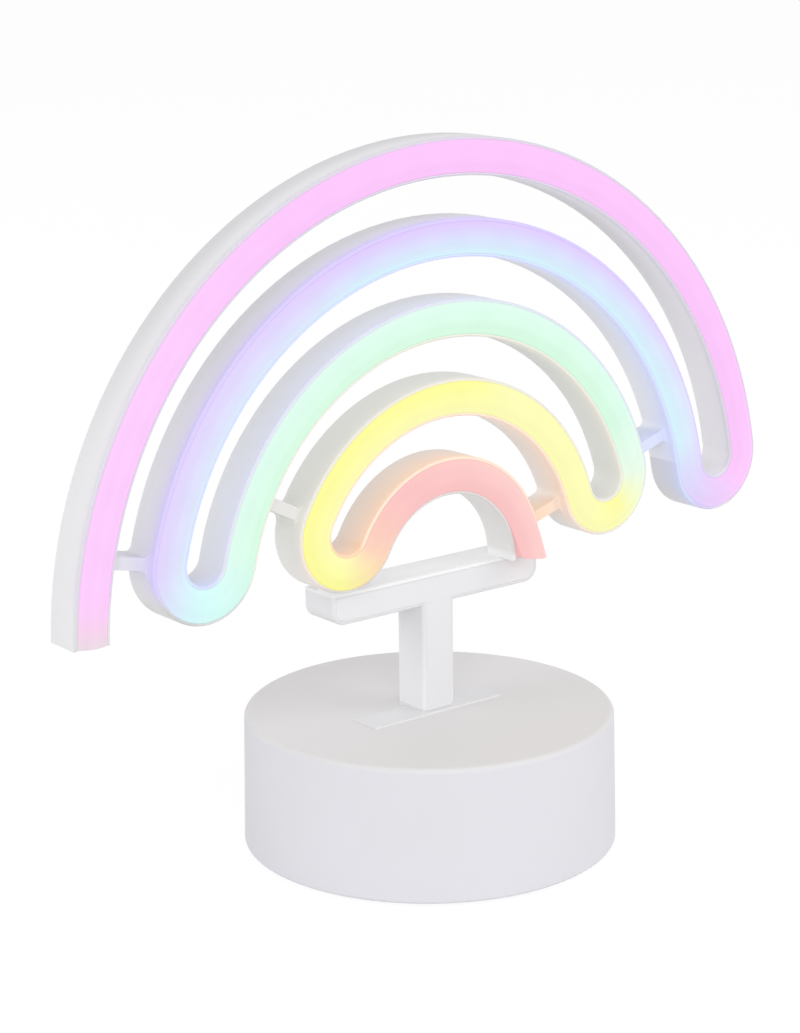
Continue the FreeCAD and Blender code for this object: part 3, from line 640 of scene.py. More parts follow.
@dataclass(frozen=True)
class Moulded(Tinted):
    """Moulded plastic with a fine spark-eroded grain."""

    cloud: Texture = Texture(38.0, 3.0, swing=0.10)
    grain: Texture = Texture(2200.0, swing=0.06, depth=0.012 * MM)
    gloss: float = 0.35


@dataclass(frozen=True)
class DrumMoulding(Moulded):
    """The base's plastic with painted light: cool round its side, a little warmer on the flat top.
    """

    # painted light: the flat top's warmer tint, from the rim up
    top: Colour = tone(229, 227, 227)
    rim: Span = (35.3 * MM, 36.2 * MM)

    def looks(self, shader: Shader, place: Socket, cloud: Socket) -> Inputs:
        """Tints the drum, and paints the warmer light of its flat top.

        Args:
            shader: The material's tree.
            place: Where a point is on the lamp.
            cloud: The broad pattern there, from 0 to 1.

        Returns:
            The tint, with the painted light of its top.
        """
        _, _, z = shader.split(place)
        # painted light: a share from the side's cool tint to the top's warmer one
        painted_top_light = shader.rise(z, *self.rim)
        return {"Base Color": shader.mix(painted_top_light, self.plain(shader, cloud), self.top)}


@dataclass(frozen=True)
class LitMoulding(Moulded):
    """White moulding with the strip's light painted on it behind its lips.

    The arches share one centre, so a stop's place is a radius as a share of the reach. A stop of
    the painted glow is a strength, a share of the deepest that it reaches and a share that glows.
    A span holds where a soft step starts and ends. The painted glow lies above the turns and the
    bar, and less of it on the far arches. The whites of the post and the walls are painted light
    and shade, and the walls are in painted shade at the lip and to the rear, most of all at the
    crown.
    """

    centre: float = 74.4 * MM
    front: float = 9.4 * MM
    reach: float = 120.0 * MM
    deepest: float = 8.0 * MM
    lean: float = 0.1
    over_turns: Span = (-2.0 * MM, 6.0 * MM)
    over_bar: Span = (-4.0 * MM, 1.0 * MM)
    ease: float = 0.5
    far_side: Span = (30.0 * MM, 78.0 * MM)
    far_arches: Span = (0.73, 0.76)
    legs: Span = (17.0 * MM, 18.0 * MM)
    # painted shade of the walls: to the rear, most at the crown, and at the lip
    rear: Span = (0.94 * MM, 9.4 * MM)
    rear_shade: float = 0.02
    crown: Span = (30.0 * MM, 102.0 * MM)
    crown_shade: float = 0.17
    lip: Span = (0.15 * MM, 0.8 * MM)
    lip_shade: float = 0.14
    sign: Span = (1.0 * MM, 3.0 * MM)
    stem: Span = (37.4 * MM, 65.9 * MM)
    # painted light and shade on the post: a lighter low stem, a darker flange, a lighter bar top
    stem_painted_light: Colour = tone(241, 241, 243)
    flange_painted_shade: Colour = tone(229, 229, 231)
    bar_top: Span = (73.4 * MM, 74.0 * MM)
    bar_half: float = 40.0 * MM
    bar_top_painted_light: Colour = tone(246, 246, 247)
    walls: Stops = ()
    turns: Stops = ()
    painted_glow_tints: Stops = ()
    painted_glows: Stops = ()

    def looks(self, shader: Shader, place: Socket, cloud: Socket) -> Inputs:
        """Paints light and shade on the post and the walls, and the strip's glow behind the lips.

        Args:
            shader: The material's tree.
            place: Where a point is on the lamp.
            cloud: The broad pattern there, from 0 to 1.

        Returns:
            The colour with its painted light, shade and glow, and the painted glow's light.
        """
        x, y, z = shader.split(place)
        rise = z - self.centre
        radius = (x * x + rise * rise) ** 0.5 / self.reach
        behind = shader.math("MAXIMUM", y + self.front, 0.0)
        strength, depth, glow = shader.split(shader.ramp(radius, self.painted_glows))
        fade = shader.math("EXPONENT", -behind / (depth * self.deepest))
        turned = shader.rise(rise + self.lean * x, *self.over_turns)
        above = shader.rise(rise, *self.over_bar)
        far = shader.rise(x, *self.far_side) * shader.rise(radius, *self.far_arches)
        # painted glow: the strip's light painted on the white behind the lips, as colour and as a
        # glow
        painted_glow = strength * fade * turned * above * (1 - self.ease * far * glow)
        tint = shader.ramp(radius, self.painted_glow_tints)
        post = self.post(shader, x, z, self.plain(shader, cloud))
        wall = self.wall(shader, radius, rise, behind)
        white = shader.mix(shader.rise(rise, *self.sign), post, wall)
        # the housing glows by this emission though it is no lamp: painted light
        return {
            "Base Color": shader.mix(painted_glow, white, tint),
            "Emission Color": shader.dim(tint, painted_glow * glow),
            "Emission Strength": self.shine,
        }

    def post(self, shader: Shader, x: Socket, z: Socket, plain: Socket) -> Socket:
        """The white of the post, from its flange to the top of the bar, with painted light and
        shade.

        Args:
            shader: The material's tree.
            x: How far a point is to the right.
            z: How high it is.
            plain: The plain tint.

        Returns:
            The colour.
        """
        # painted light: the low stem is lighter than the rest
        stem = shader.mix(shader.rise(z, *self.stem), self.stem_painted_light, plain)
        # painted light: the bar's top face is lighter
        top = shader.rise(z, *self.bar_top) * (1 - (abs(x) > self.bar_half))
        topped = shader.mix(top, stem, self.bar_top_painted_light)
        # painted shade: the flange below the stem is darker
        return shader.mix(z > self.stem[0], self.flange_painted_shade, topped)

    def wall(self, shader: Shader, radius: Socket, rise: Socket, behind: Socket) -> Socket:
        """The white of the arches' walls, with painted light and shade.

        Args:
            shader: The material's tree.
            radius: How far a point is from the arches' centre, as a share of the reach.
            rise: How far it is above the centre.
            behind: How far it is behind the front.

        Returns:
            The colour.
        """
        legs = shader.rise(rise, *self.legs)
        # the whites by radius are lit and shaded copies of one white: painted light and shade
        wall = shader.mix(legs, shader.ramp(radius, self.turns), shader.ramp(radius, self.walls))
        high = shader.rise(rise, *self.crown)
        # painted shade to the rear, most of all at the crown
        rear = shader.rise(behind, *self.rear) * (self.rear_shade + self.crown_shade * high)
        # painted shade at the lip's front
        lip = 1 - shader.rise(behind, *self.lip)
        return shader.dim(wall, 1 - rear - self.lip_shade * lip)


@dataclass(frozen=True)
class Metal(Tinted):
    """Plated sheet or wire with faint stains and fine draw lines."""

    rough: float = 0.28
    cloud: Texture = Texture(210.0, 3.0, swing=0.12)
    grain: Texture = Texture(1.0, swing=0.18, depth=0.006 * MM)
    lines: Triple = (120.0, 4000.0, 4000.0)
    colour: Colour = tone(196, 198, 200)
    shade: Colour = tone(160, 162, 166)
    metal: float = 1.0

    def relief(self, shader: Shader, place: Socket) -> Socket:
        """The height of the draw lines, which are long along X."""
        drawn = shader.node("ShaderNodeMapping", {"Vector": place, "Scale": self.lines})
        return shader.noise(drawn, self.grain)


@dataclass(frozen=True)
class CellJacket(Finish):
    """A dry cell's plain sleeve: a slate run, a pale band by the raised pole, bare ends."""

    rough: float = 0.30
    cloud: Texture = Texture(420.0, 3.0, swing=0.14, depth=0.01 * MM)
    pole_side: int = 1
    middle: float = 0.0
    sleeve: float = 48.0 * MM
    band: Span = (12.48 * MM, 12.72 * MM)
    slate: Colour = tone(66, 80, 96)
    pale: Colour = tone(202, 206, 208)
    steel: Colour = tone(198, 199, 201)
    wear: float = 0.14
    foil: float = 0.55
    coat: float = 0.35

    def looks(self, shader: Shader, place: Socket, cloud: Socket) -> Inputs:
        """Tints the sleeve, worn a little to the steel, and the bare ends.

        Args:
            shader: The material's tree.
            place: Where a point is on the lamp.
            cloud: The broad pattern there, from 0 to 1.

        Returns:
            The tint, how metallic it is, and the coat.
        """
        along, _, _ = shader.split(place)
        run = self.pole_side * (along - self.middle)
        band = shader.rise(run, *self.band)
        bare = abs(run) > self.sleeve / 2
        sleeve = shader.mix(band, self.slate, self.pale)
        worn = shader.mix(self.wear * cloud, sleeve, self.steel)
        return {
            "Base Color": shader.mix(bare, worn, self.steel),
            "Metallic": self.foil * band * (1 - bare) + bare,
            "Coat Weight": self.coat * (1 - bare),
        }


@dataclass(frozen=True)
class BoardMask(Tinted):
    """A circuit board's green mask over a woven laminate."""

    rough: float = 0.36
    cloud: Texture = Texture(160.0, swing=0.1)
    grain: Texture = Texture(1400.0, swing=0.06, depth=0.008 * MM)
    colour: Colour = tone(28, 92, 58)
    shade: Colour = tone(18, 70, 44)
    coat: float = 0.2

    def relief(self, shader: Shader, place: Socket) -> Socket:
        """Weaves the laminate.

        Args:
            shader: The material's tree.
            place: Where a point is on the lamp.

        Returns:
            The height of the weave, about a middle of one half.
        """
        x, y, _ = shader.split(place)
        warp, weft = (shader.math("SINE", way * self.grain.scale) for way in (x, y))
        return 0.5 + warp * weft

    def looks(self, shader: Shader, place: Socket, cloud: Socket) -> Inputs:
        """The tint under an uneven coat."""
        return {**super().looks(shader, place, cloud), "Coat Weight": self.coat * (1 + cloud)}


@dataclass(frozen=True)
class MilkyGlow(Finish):
    """The strip's milky silicone, lit from behind in a run of colours.

    A stop's place is a share of the way along the strip. The two runs hold the colours of its
    two edges, and the colours between them are mixed.
    """

    rough: float = 0.52
    cloud: Texture = Texture(1.0, 3.0, swing=0.12, depth=0.02 * MM)
    gloss: float = 0.3
    right_run: Stops = ()
    left_run: Stops = ()
    body: float = 0.29
    glow: float = 0.685
    level: float = 0.985
    diodes: float = 70.0
    diode_swing: float = 0.012
    rib_swing: float = 0.010
    streaks: Span = (26.0, 2.2)
    streak_swing: float = 0.025
    edge: Span = (0.92, 1.0)
    edge_shade: float = 0.09

    def place(self, shader: Shader) -> Socket:
        """Follows the strip.

        Args:
            shader: The material's tree.

        Returns:
            Where a point is along and across the strip, in waves of its streaks.
        """
        along, over = self.streaks
        run, across = shader.attribute("run"), shader.attribute("across")
        return shader.join(run * along, across * over, 0.0)

    def looks(self, shader: Shader, place: Socket, cloud: Socket) -> Inputs:
        """Lights the run of colours, with faint diodes, ribs and streaks and dim edges.

        Args:
            shader: The material's tree.
            place: Where a point is on the strip; not used.
            cloud: The streaks there, from 0 to 1.

        Returns:
            The tint, which paints the light's colours into the body, and the strip's own light.
        """
        run, across = shader.attribute("run"), shader.attribute("across")
        left, right = (shader.ramp(run, stops) for stops in (self.left_run, self.right_run))
        colour = shader.mix(shader.clamp(0.5 + 0.5 * across), left, right)
        diodes = shader.math("COSINE", run * (self.diodes * math.tau)) * (1 - abs(across))
        ribs = shader.math("COSINE", across * math.tau)
        level = self.level + self.diode_swing * diodes + self.rib_swing * ribs
        level = level + self.streak_swing * (cloud - 0.5)
        level = level - self.edge_shade * shader.rise(abs(across), *self.edge)
        # the body colour carries the run's light colours: painted light on silicone that is white
        # when unlit; the emission is the strip's own light
        return {
            "Base Color": shader.dim(colour, self.body * level),
            "Emission Color": shader.dim(colour, level),
            "Emission Strength": self.glow,
        }


# Colours of the lit strip, from the outer arch's foot to the inner arch's tip

PINK_END = tone(235, 219, 229)
PINK_FADE = tone(241, 213, 230)
PINK_WARM = tone(254, 210, 244)
PINK = tone(254, 205, 254)
PINK_DEEP = tone(254, 199, 253)
VIOLET = tone(227, 212, 254)
VIOLET_DEEP = tone(224, 201, 254)
PERIWINKLE = tone(227, 229, 254)
SKY = tone(215, 246, 255)
POWDER = tone(222, 237, 254)
AQUA = tone(214, 254, 253)
MINT = tone(216, 254, 228)
MINT_PALE = tone(224, 254, 240)
LIME = tone(235, 254, 239)
LEMON = tone(255, 254, 183)
LEMON_DEEP = tone(255, 253, 152)
APRICOT = tone(254, 211, 190)
CORAL = tone(253, 195, 196)
CORAL_PALE = tone(253, 210, 205)

PINK_RUN = (
    (0.0, PINK_END), (0.002, PINK_FADE), (0.0055, PINK_WARM), (0.009, PINK), (0.07, PINK),
    (0.11, PINK_DEEP),
)
GLOW = MilkyGlow(
    "glowing_silicone",
    right_run=(
        *PINK_RUN, (0.312, PINK_DEEP), (0.330, VIOLET), (0.350, PERIWINKLE), (0.375, VIOLET),
        (0.412, VIOLET_DEEP), (0.48, VIOLET_DEEP), (0.52, VIOLET), (0.568, VIOLET),
        (0.580, AQUA), (0.600, MINT), (0.75, MINT), (0.765, LIME), (0.778, LEMON_DEEP),
        (0.79, LEMON), (0.835, LEMON), (0.845, LEMON_DEEP), (0.919, LEMON_DEEP),
        (0.931, APRICOT), (0.945, CORAL),
    ),
    left_run=(
        *PINK_RUN, (0.29, PINK_DEEP), (0.312, PINK), (0.328, VIOLET), (0.344, SKY), (0.48, SKY),
        (0.50, POWDER), (0.565, POWDER), (0.580, AQUA), (0.600, MINT_PALE), (0.75, MINT_PALE),
        (0.765, LIME), (0.780, LEMON), (0.919, LEMON), (0.930, APRICOT), (0.944, CORAL),
        (0.977, CORAL_PALE),
    ),
)

# Colours of the strip's light painted on the housing, from the inner arch outwards

PALE_PINK = tone(238, 230, 238)
PEACH = tone(247, 206, 171)
PEACH_PALE = tone(246, 223, 206)
CREAM = tone(244, 238, 222)
PALE_GREEN = tone(224, 236, 226)
GREY_BLUE = tone(218, 221, 236)
PALE_BLUE = tone(204, 213, 249)
LAVENDER = tone(206, 194, 249)
PALE_VIOLET = tone(228, 224, 240)
# painted shade at the pink lips, in the strip's colour
LIP_MAUVE_SHADE = tone(220, 213, 227)

# Painted light and shade on the housing's one white: each arch's inner wall, its outer wall,
# and the tie outside it; the ties and the mint turn are in painted shade

CORAL_INSIDE = tone(234, 233, 231)
CORAL_OUTSIDE = tone(223, 222, 220)
LEMON_INSIDE = tone(241, 240, 238)
LEMON_BACK = tone(236, 236, 233)
LEMON_OUTSIDE = tone(233, 233, 230)
LEMON_TIE_SHADE = tone(224, 224, 222)
MINT_INSIDE = tone(235, 235, 231)
MINT_OUTSIDE = tone(234, 234, 235)
MINT_TIE_SHADE = tone(222, 225, 235)
MINT_TURN_SHADE = tone(222, 221, 222)
BLUE_INSIDE = tone(246, 246, 246)
BLUE_OUTSIDE = tone(236, 235, 238)
BLUE_TIE_SHADE = tone(219, 218, 225)
PINK_INSIDE = tone(242, 241, 243)
PINK_OUTSIDE = tone(233, 232, 235)

INNER_WALLS = (
    (0.20, CORAL_INSIDE), (0.25, CORAL_OUTSIDE), (0.29, CORAL_OUTSIDE), (0.353, LEMON_INSIDE),
)
OUTER_WALLS = ((0.866, PINK_INSIDE), (0.92, PINK_OUTSIDE))

# the housing's white with the strip's glow painted on it, and painted light and shade; its shine
# makes the painted glow emit
CHANNEL = LitMoulding(
    "lit_moulding", 0.42, colour=tone(234, 234, 236), shade=tone(229, 229, 231), shine=0.14,
    painted_glow_tints=(
        (0.17, PALE_PINK), (0.215, PEACH), (0.2565, PEACH), (0.2585, PEACH_PALE),
        (0.262, PEACH_PALE), (0.2635, PEACH), (0.34, PEACH), (0.36, PEACH_PALE),
        (0.415, PEACH_PALE), (0.435, CREAM), (0.53, CREAM), (0.56, PALE_GREEN),
        (0.60, GREY_BLUE), (0.63, PALE_BLUE), (0.73, PALE_BLUE), (0.75, LAVENDER),
        (0.80, LAVENDER), (0.84, PALE_VIOLET), (0.855, LIP_MAUVE_SHADE),
    ),
    painted_glows=(
        *((place, (strength, depth, 1.0)) for place, strength, depth in (
            (0.17, 0.10, 0.20), (0.205, 0.25, 0.20), (0.235, 0.92, 0.95), (0.30, 0.92, 0.95),
            (0.375, 0.75, 0.50), (0.41, 0.65, 0.12), (0.44, 0.40, 0.20), (0.54, 0.50, 0.20),
            (0.60, 0.60, 0.40), (0.64, 0.95, 0.80), (0.68, 0.95, 0.60), (0.72, 0.90, 0.45),
            (0.76, 1.00, 0.35), (0.785, 0.95, 0.30), (0.81, 0.60, 0.25), (0.84, 0.55, 0.28),
        )),
        (0.855, (0.95, 0.12, 0.0)),
    ),
    turns=(
        *INNER_WALLS, (0.435, LEMON_OUTSIDE), (0.525, MINT_INSIDE), (0.605, MINT_OUTSIDE),
        (0.64, MINT_TURN_SHADE), (0.73, MINT_TURN_SHADE), (0.777, BLUE_OUTSIDE), *OUTER_WALLS,
    ),
    walls=(
        *INNER_WALLS, (0.40, LEMON_BACK), (0.44, LEMON_OUTSIDE), (0.46, LEMON_TIE_SHADE),
        (0.505, LEMON_TIE_SHADE), (0.525, MINT_INSIDE), (0.605, MINT_OUTSIDE), (0.625, MINT_TIE_SHADE),
        (0.675, MINT_TIE_SHADE), (0.695, BLUE_INSIDE), (0.775, BLUE_OUTSIDE), (0.80, BLUE_TIE_SHADE),
        (0.85, BLUE_TIE_SHADE), *OUTER_WALLS,
    ),
)

# The other finishes

COARSE = Texture(1500.0, swing=0.06, depth=0.02 * MM)
DUST = Texture(900.0, 4.0, swing=0.2, depth=0.03 * MM)
SLEEVE = Texture(600.0, 3.0, swing=0.2, depth=0.01 * MM)

HOUSING = Moulded("white_moulding", 0.42, colour=tone(235, 235, 237), shade=tone(230, 230, 232))
# the side's cool tint and the top's warmer tint are painted light
BASE = DrumMoulding("base_moulding", 0.5, colour=tone(226, 225, 231), shade=tone(222, 222, 227))
KNOB = Moulded("knob_moulding", 0.5, grain=COARSE, colour=tone(52, 52, 54), shade=tone(44, 44, 46))
DARK = Moulded("dark_moulding", 0.48, grain=COARSE, colour=tone(38, 38, 40), shade=tone(30, 30, 32))
STEEL = Metal("plated_steel")
SPRING = Metal("spring_wire", 0.22, colour=tone(206, 207, 208), shade=tone(170, 172, 176))
PADS = Tinted(
    "pad_rubber", 0.78, DUST, gloss=0.25, colour=tone(214, 214, 212), shade=tone(188, 188, 184),
)
BLACK_LEAD = Tinted("black_sleeve", 0.45, SLEEVE, colour=tone(24, 24, 26), shade=tone(44, 44, 46))
RED_LEAD = Tinted("red_sleeve", 0.45, SLEEVE, colour=tone(176, 32, 30), shade=tone(142, 24, 24))
BOARD = BoardMask("green_board")
LIGHTS = Tinted(
    "light_board_mask", 0.42, Texture(260.0, swing=0.2, depth=0.01 * MM),
    colour=tone(238, 238, 232), shade=tone(206, 160, 110), patch=(0.62, 0.66),
)
DIODES = Tinted(
    "diode_resin", 0.35, Texture(700.0, 1.0, swing=0.1),
    colour=tone(250, 242, 206), shade=tone(255, 226, 150), shine=0.4,
)


# The sign

@dataclass(frozen=True)
class Bend:
    """An arc of the winding path about a centre, between two angles in radians."""

    x: float
    z: float
    radius: float
    start: float
    end: float

    def spot(self, angle: float, reach: float = 0.0) -> Vector:
        """Finds a point of the arc, or one that is moved straight along the way there.

        Args:
            angle: The angle of the point on the arc, in radians.
            reach: How far it is moved.

        Returns:
            The point.
        """
        way = reach if self.end > self.start else -reach
        return Vector((
            self.x + self.radius * math.cos(angle) - way * math.sin(angle),
            0.0,
            self.z + self.radius * math.sin(angle) + way * math.cos(angle),
        ))


@dataclass
class NeonSign:
    """The winding light: five arches joined by turns, in a white moulding on a T-shaped stem."""

    arches: int = 5
    arch_radius: float = 108.9 * MM
    arch_pitch: float = 20.54 * MM
    arch_level: float = 74.4 * MM
    turn_rise: float = 16.9 * MM
    foot_rise: float = 2.4 * MM
    start_trim: float = 0.3 * MM
    tail: float = 0.4 * MM
    tip_lift: float = 2.9 * MM
    tip_run: float = 15.0 * MM
    tip_slant: float = 1.7 * MM
    tip_cut: float = 3.0 * MM
    tip_middle: float = 0.62
    flare: float = 0.25 * MM
    lip_front: float = 9.4 * MM
    crown: float = 1.3 * MM
    back_square: float = 1.6
    spacing: float = 1.2 * MM
    profile_points: int = 36
    curve_steps: int = 64
    knot_sweep: float = math.pi / 3

    def bends(self) -> list[Bend]:
        """Works out the arcs of the path.

        Returns:
            Arches and turns, from the outer arch's left foot to the inner arch's tip.
        """
        made: list[Bend] = []
        trim = self.start_trim / self.arch_radius
        angle = math.pi - math.asin(self.foot_rise / self.arch_radius) - trim
        for index in range(self.arches):
            radius = self.arch_radius - index * self.arch_pitch
            to_right = index % 2 == 0
            if index == self.arches - 1:
                made.append(Bend(0.0, self.arch_level, radius, angle, -self.tail / radius))
                break
            middle = radius - self.arch_pitch / 2
            lean = math.asin(self.turn_rise / middle)
            stop = lean if to_right else math.pi - lean
            made.append(Bend(0.0, self.arch_level, radius, angle, stop))
            made.append(Bend(
                middle * math.cos(stop), self.arch_level + middle * math.sin(stop),
                self.arch_pitch / 2, stop, stop + (-math.pi if to_right else math.pi),
            ))
            angle = stop
        return made

    def path(self) -> Object:
        """Draws the path as one smooth curve, with handles that round its arcs.

        Returns:
            The curve's object.
        """
        knots: list[list[Vector]] = []
        for bend in self.bends():
            sweep = bend.end - bend.start
            count = max(1, math.ceil(abs(sweep) / self.knot_sweep))
            reach = 4 / 3 * math.tan(abs(sweep) / count / 4) * bend.radius
            for step in range(count + 1):
                angle = bend.start + sweep * step / count
                knot = [bend.spot(angle), bend.spot(angle, -reach), bend.spot(angle, reach)]
                if step == 0 and knots:
                    knots[-1][2] = knot[2]
                else:
                    knots.append(knot)
        curve = bpy.data.curves.new("winding_path", "CURVE")
        curve.dimensions = "3D"
        curve.resolution_u = self.curve_steps
        spline = curve.splines.new("BEZIER")
        spline.bezier_points.add(len(knots) - 1)
        for point, (place, before, after) in zip(spline.bezier_points, knots):
            point.co, point.handle_left, point.handle_right = place, before, after
        return shown("winding_path", curve)

    def profile(self, form: Form) -> Socket:
        """Draws the strip's section: a dome in front, a squared well behind.

        Args:
            form: The strip's tree.

        Returns:
            A closed curve that keeps how far across each point is.
        """
        _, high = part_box("neon_diffuser")
        half_width = form.size("Half Width", high.z - self.arch_level - self.arch_radius)
        crown = form.size("Crown", self.crown)
        depth = form.size("Depth", high.y + self.lip_front)
        front = form.size("Lip Front", self.lip_front)
        square = form.size("Back Square", self.back_square)
        flare = form.size("Flare", self.flare)
        ring = form.node("GeometryNodeCurvePrimitiveCircle", {
            "Resolution": form.size("Profile Points", self.profile_points), "Radius": 1.0,
        })
        x, y, _ = form.split(form.node("GeometryNodeInputPosition"))
        behind = -y > HAIR
        across = x + behind * (form.clamp(x * square, -1.0, 1.0) - x)
        dome = crown * (1 - x * x)
        well = depth * form.clamp(-(y * square)) ** 2
        forward = front + dome * (1 - behind) - well * behind
        sideways = across * (half_width + flare * (1 - behind))
        return form.node("GeometryNodeSetPosition", {
            "Geometry": form.keep(ring, "across", across),
            "Position": form.join(forward, sideways, 0.0),
        })

    def spine(self, form: Form) -> Socket:
        """Divides the path into even steps and springs its free tip forward.

        Args:
            form: The strip's tree, which starts from the path.

        Returns:
            A curve that keeps how far along each point is, and what is left from there.
        """
        even = form.node("GeometryNodeResampleCurve", {
            "Curve": form.base(), "Length": form.size("Spacing", self.spacing),
        }, {"mode": "LENGTH"})
        along = form.node("GeometryNodeSplineParameter", output="Length")
        left = form.node("GeometryNodeSplineLength", output="Length") - along
        near_tip = form.clamp(1 - left / form.size("Tip Run", self.tip_run))
        lift = form.size("Tip Lift", self.tip_lift) * near_tip * near_tip
        sprung = form.node("GeometryNodeSetPosition", {
            "Geometry": even, "Offset": form.join(0.0, -lift, 0.0),
        })
        facing = form.node("GeometryNodeSetCurveNormal", {
            "Curve": sprung, "Normal": (0.0, -1.0, 0.0),
        }, {"mode": "FREE"})
        run = form.node("GeometryNodeSplineParameter", output="Factor")
        return form.keep(form.keep(facing, "run", run), "left", left)

    def strip(self) -> Object:
        """Sweeps the domed strip along the path and cuts its tip on a slant.

        Returns:
            The piece.
        """
        form = Form("domed_strip")
        swept = form.node("GeometryNodeCurveToMesh", {
            "Profile Curve": self.profile(form), "Curve": self.spine(form), "Fill Caps": True,
        })
        cut = form.clamp(1 - form.kept("left") / form.size("Tip Cut", self.tip_cut))
        share = self.tip_middle + (1 - self.tip_middle) * form.kept("across")
        slant = form.size("Tip Slant", self.tip_slant) * share * cut
        slanted = form.node("GeometryNodeSetPosition", {
            "Geometry": swept, "Offset": form.join(0.0, 0.0, slant),
        })
        form.close(slanted, GLOW.material())
        mesh = tidy_mesh(form.grow(self.path()))
        return settle("glowing_strip", mesh, Body.LAMP, Slot.MILKY, "neon_diffuser")

    def build(self) -> None:
        """Makes the strip and dresses the moulding, the cover and the lights."""
        self.strip()
        dress(CHANNEL, "sign_housing")
        dress(HOUSING, "stem_cover")
        dress(LIGHTS, "led_strip")
        dress(DIODES, "led_chips")


# The base

@dataclass
class CrossheadScrew:
    """A pan-head screw with a cross recess, head down."""

    head_radius: float = 2.6 * MM
    head_height: float = 1.4 * MM
    head_flat: float = 0.72
    shank_radius: float = 1.0 * MM
    shank_length: float = 6.0 * MM
    edge: float = 0.45 * MM
    recess_reach: float = 1.5 * MM
    recess_width: float = 0.62 * MM
    recess_depth: float = 0.85 * MM
    facets: int = 32

    def template(self, name: str) -> Object:
        """Turns the screw and sinks its cross.

        Args:
            name: The template's name.

        Returns:
            An object that is copied to each place and then removed.
        """
        top = self.head_height
        end = top + self.shank_length
        blank = shown(name, lathe(name, (
            (0.0, 0.0),
            (self.head_flat * self.head_radius, 0.0),
            *soft_edge(self.head_radius, self.edge),
            (self.head_radius, top),
            (self.shank_radius, top),
            (self.shank_radius, end - self.shank_radius),
            (0.0, end),
        ), self.facets))
        sizes = (2 * self.recess_reach, self.recess_width, 2 * self.recess_depth)
        bar = Matrix.Diagonal((*sizes, 1.0))
        work = bmesh.new()
        for turn in (0.0, 90.0):
            bmesh.ops.create_cube(work, size=1.0, matrix=spin(turn, "Z") @ bar)
        mesh = bpy.data.meshes.new("cross")
        work.to_mesh(mesh)
        work.free()
        cross = shown("cross", mesh)
        cut = blank.modifiers.new("cross", "BOOLEAN")
        cut.operation = "DIFFERENCE"
        cut.solver = "EXACT"
        cut.use_self = True
        cut.object = cross
        blank.data = tidy_mesh(applied(blank, cut))
        bpy.data.objects.remove(cross)
        return blank


@dataclass
class BatteryBase:
    """The round base: shell, bottom plate, hinged door, screws and rubber pads."""

    pad_radius: float = 4.0 * MM
    pad_edge: float = 0.35 * MM
    latch_head: float = 0.8 * MM
    screw: CrossheadScrew = field(default_factory=CrossheadScrew)

    @staticmethod
    def spread(node: str, radius: float) -> list[Vector]:
        """Places of four equal round pieces at the corners of a node's box.

        Args:
            node: The solid that holds the pieces.
            radius: The radius of one piece.

        Returns:
            The four centres, at the lowest height.
        """
        low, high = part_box(node)
        return [
            Vector((x, y, low.z))
            for x in (low.x + radius, high.x - radius)
            for y in (low.y + radius, high.y - radius)
        ]

    def pads(self) -> None:
        """Turns the rubber pads with soft edges."""
        low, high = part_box("foot_pads")
        tall = high.z - low.z
        radius = self.pad_radius
        template = shown("pad", lathe("pad", (
            (0.0, 0.0), (radius - self.pad_edge, 0.0), *soft_edge(radius, self.pad_edge),
            (radius, tall), (0.0, tall),
        )))
        mesh = repeat("rubber_pads", template, self.spread("foot_pads", radius), PADS)
        settle("rubber_pads", mesh, Body.LAMP, Slot.RUBBER, "foot_pads")

    def screws(self) -> None:
        """Makes the screws of the plate and of the door."""
        places = self.spread("base_screws", self.screw.head_radius)
        mesh = repeat("plate_screws", self.screw.template("plate_screw"), places, STEEL)
        settle("plate_screws", mesh, Body.LAMP, Slot.STEEL, "base_screws")
        low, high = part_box("door_screw")
        length = high.z - low.z - self.latch_head
        short = CrossheadScrew(head_height=self.latch_head, shank_length=length)
        middle = Vector(((low.x + high.x) / 2, (low.y + high.y) / 2, low.z))
        mesh = repeat("latch_screw", short.template("latch_blank"), [middle], STEEL)
        settle("latch_screw", mesh, Body.DOOR, Slot.STEEL, "door_screw")

    def build(self) -> None:
        """Dresses the mouldings and makes the pads and screws."""
        dress(BASE, "base_shell", "base_plate", "battery_door")
        self.pads()
        self.screws()


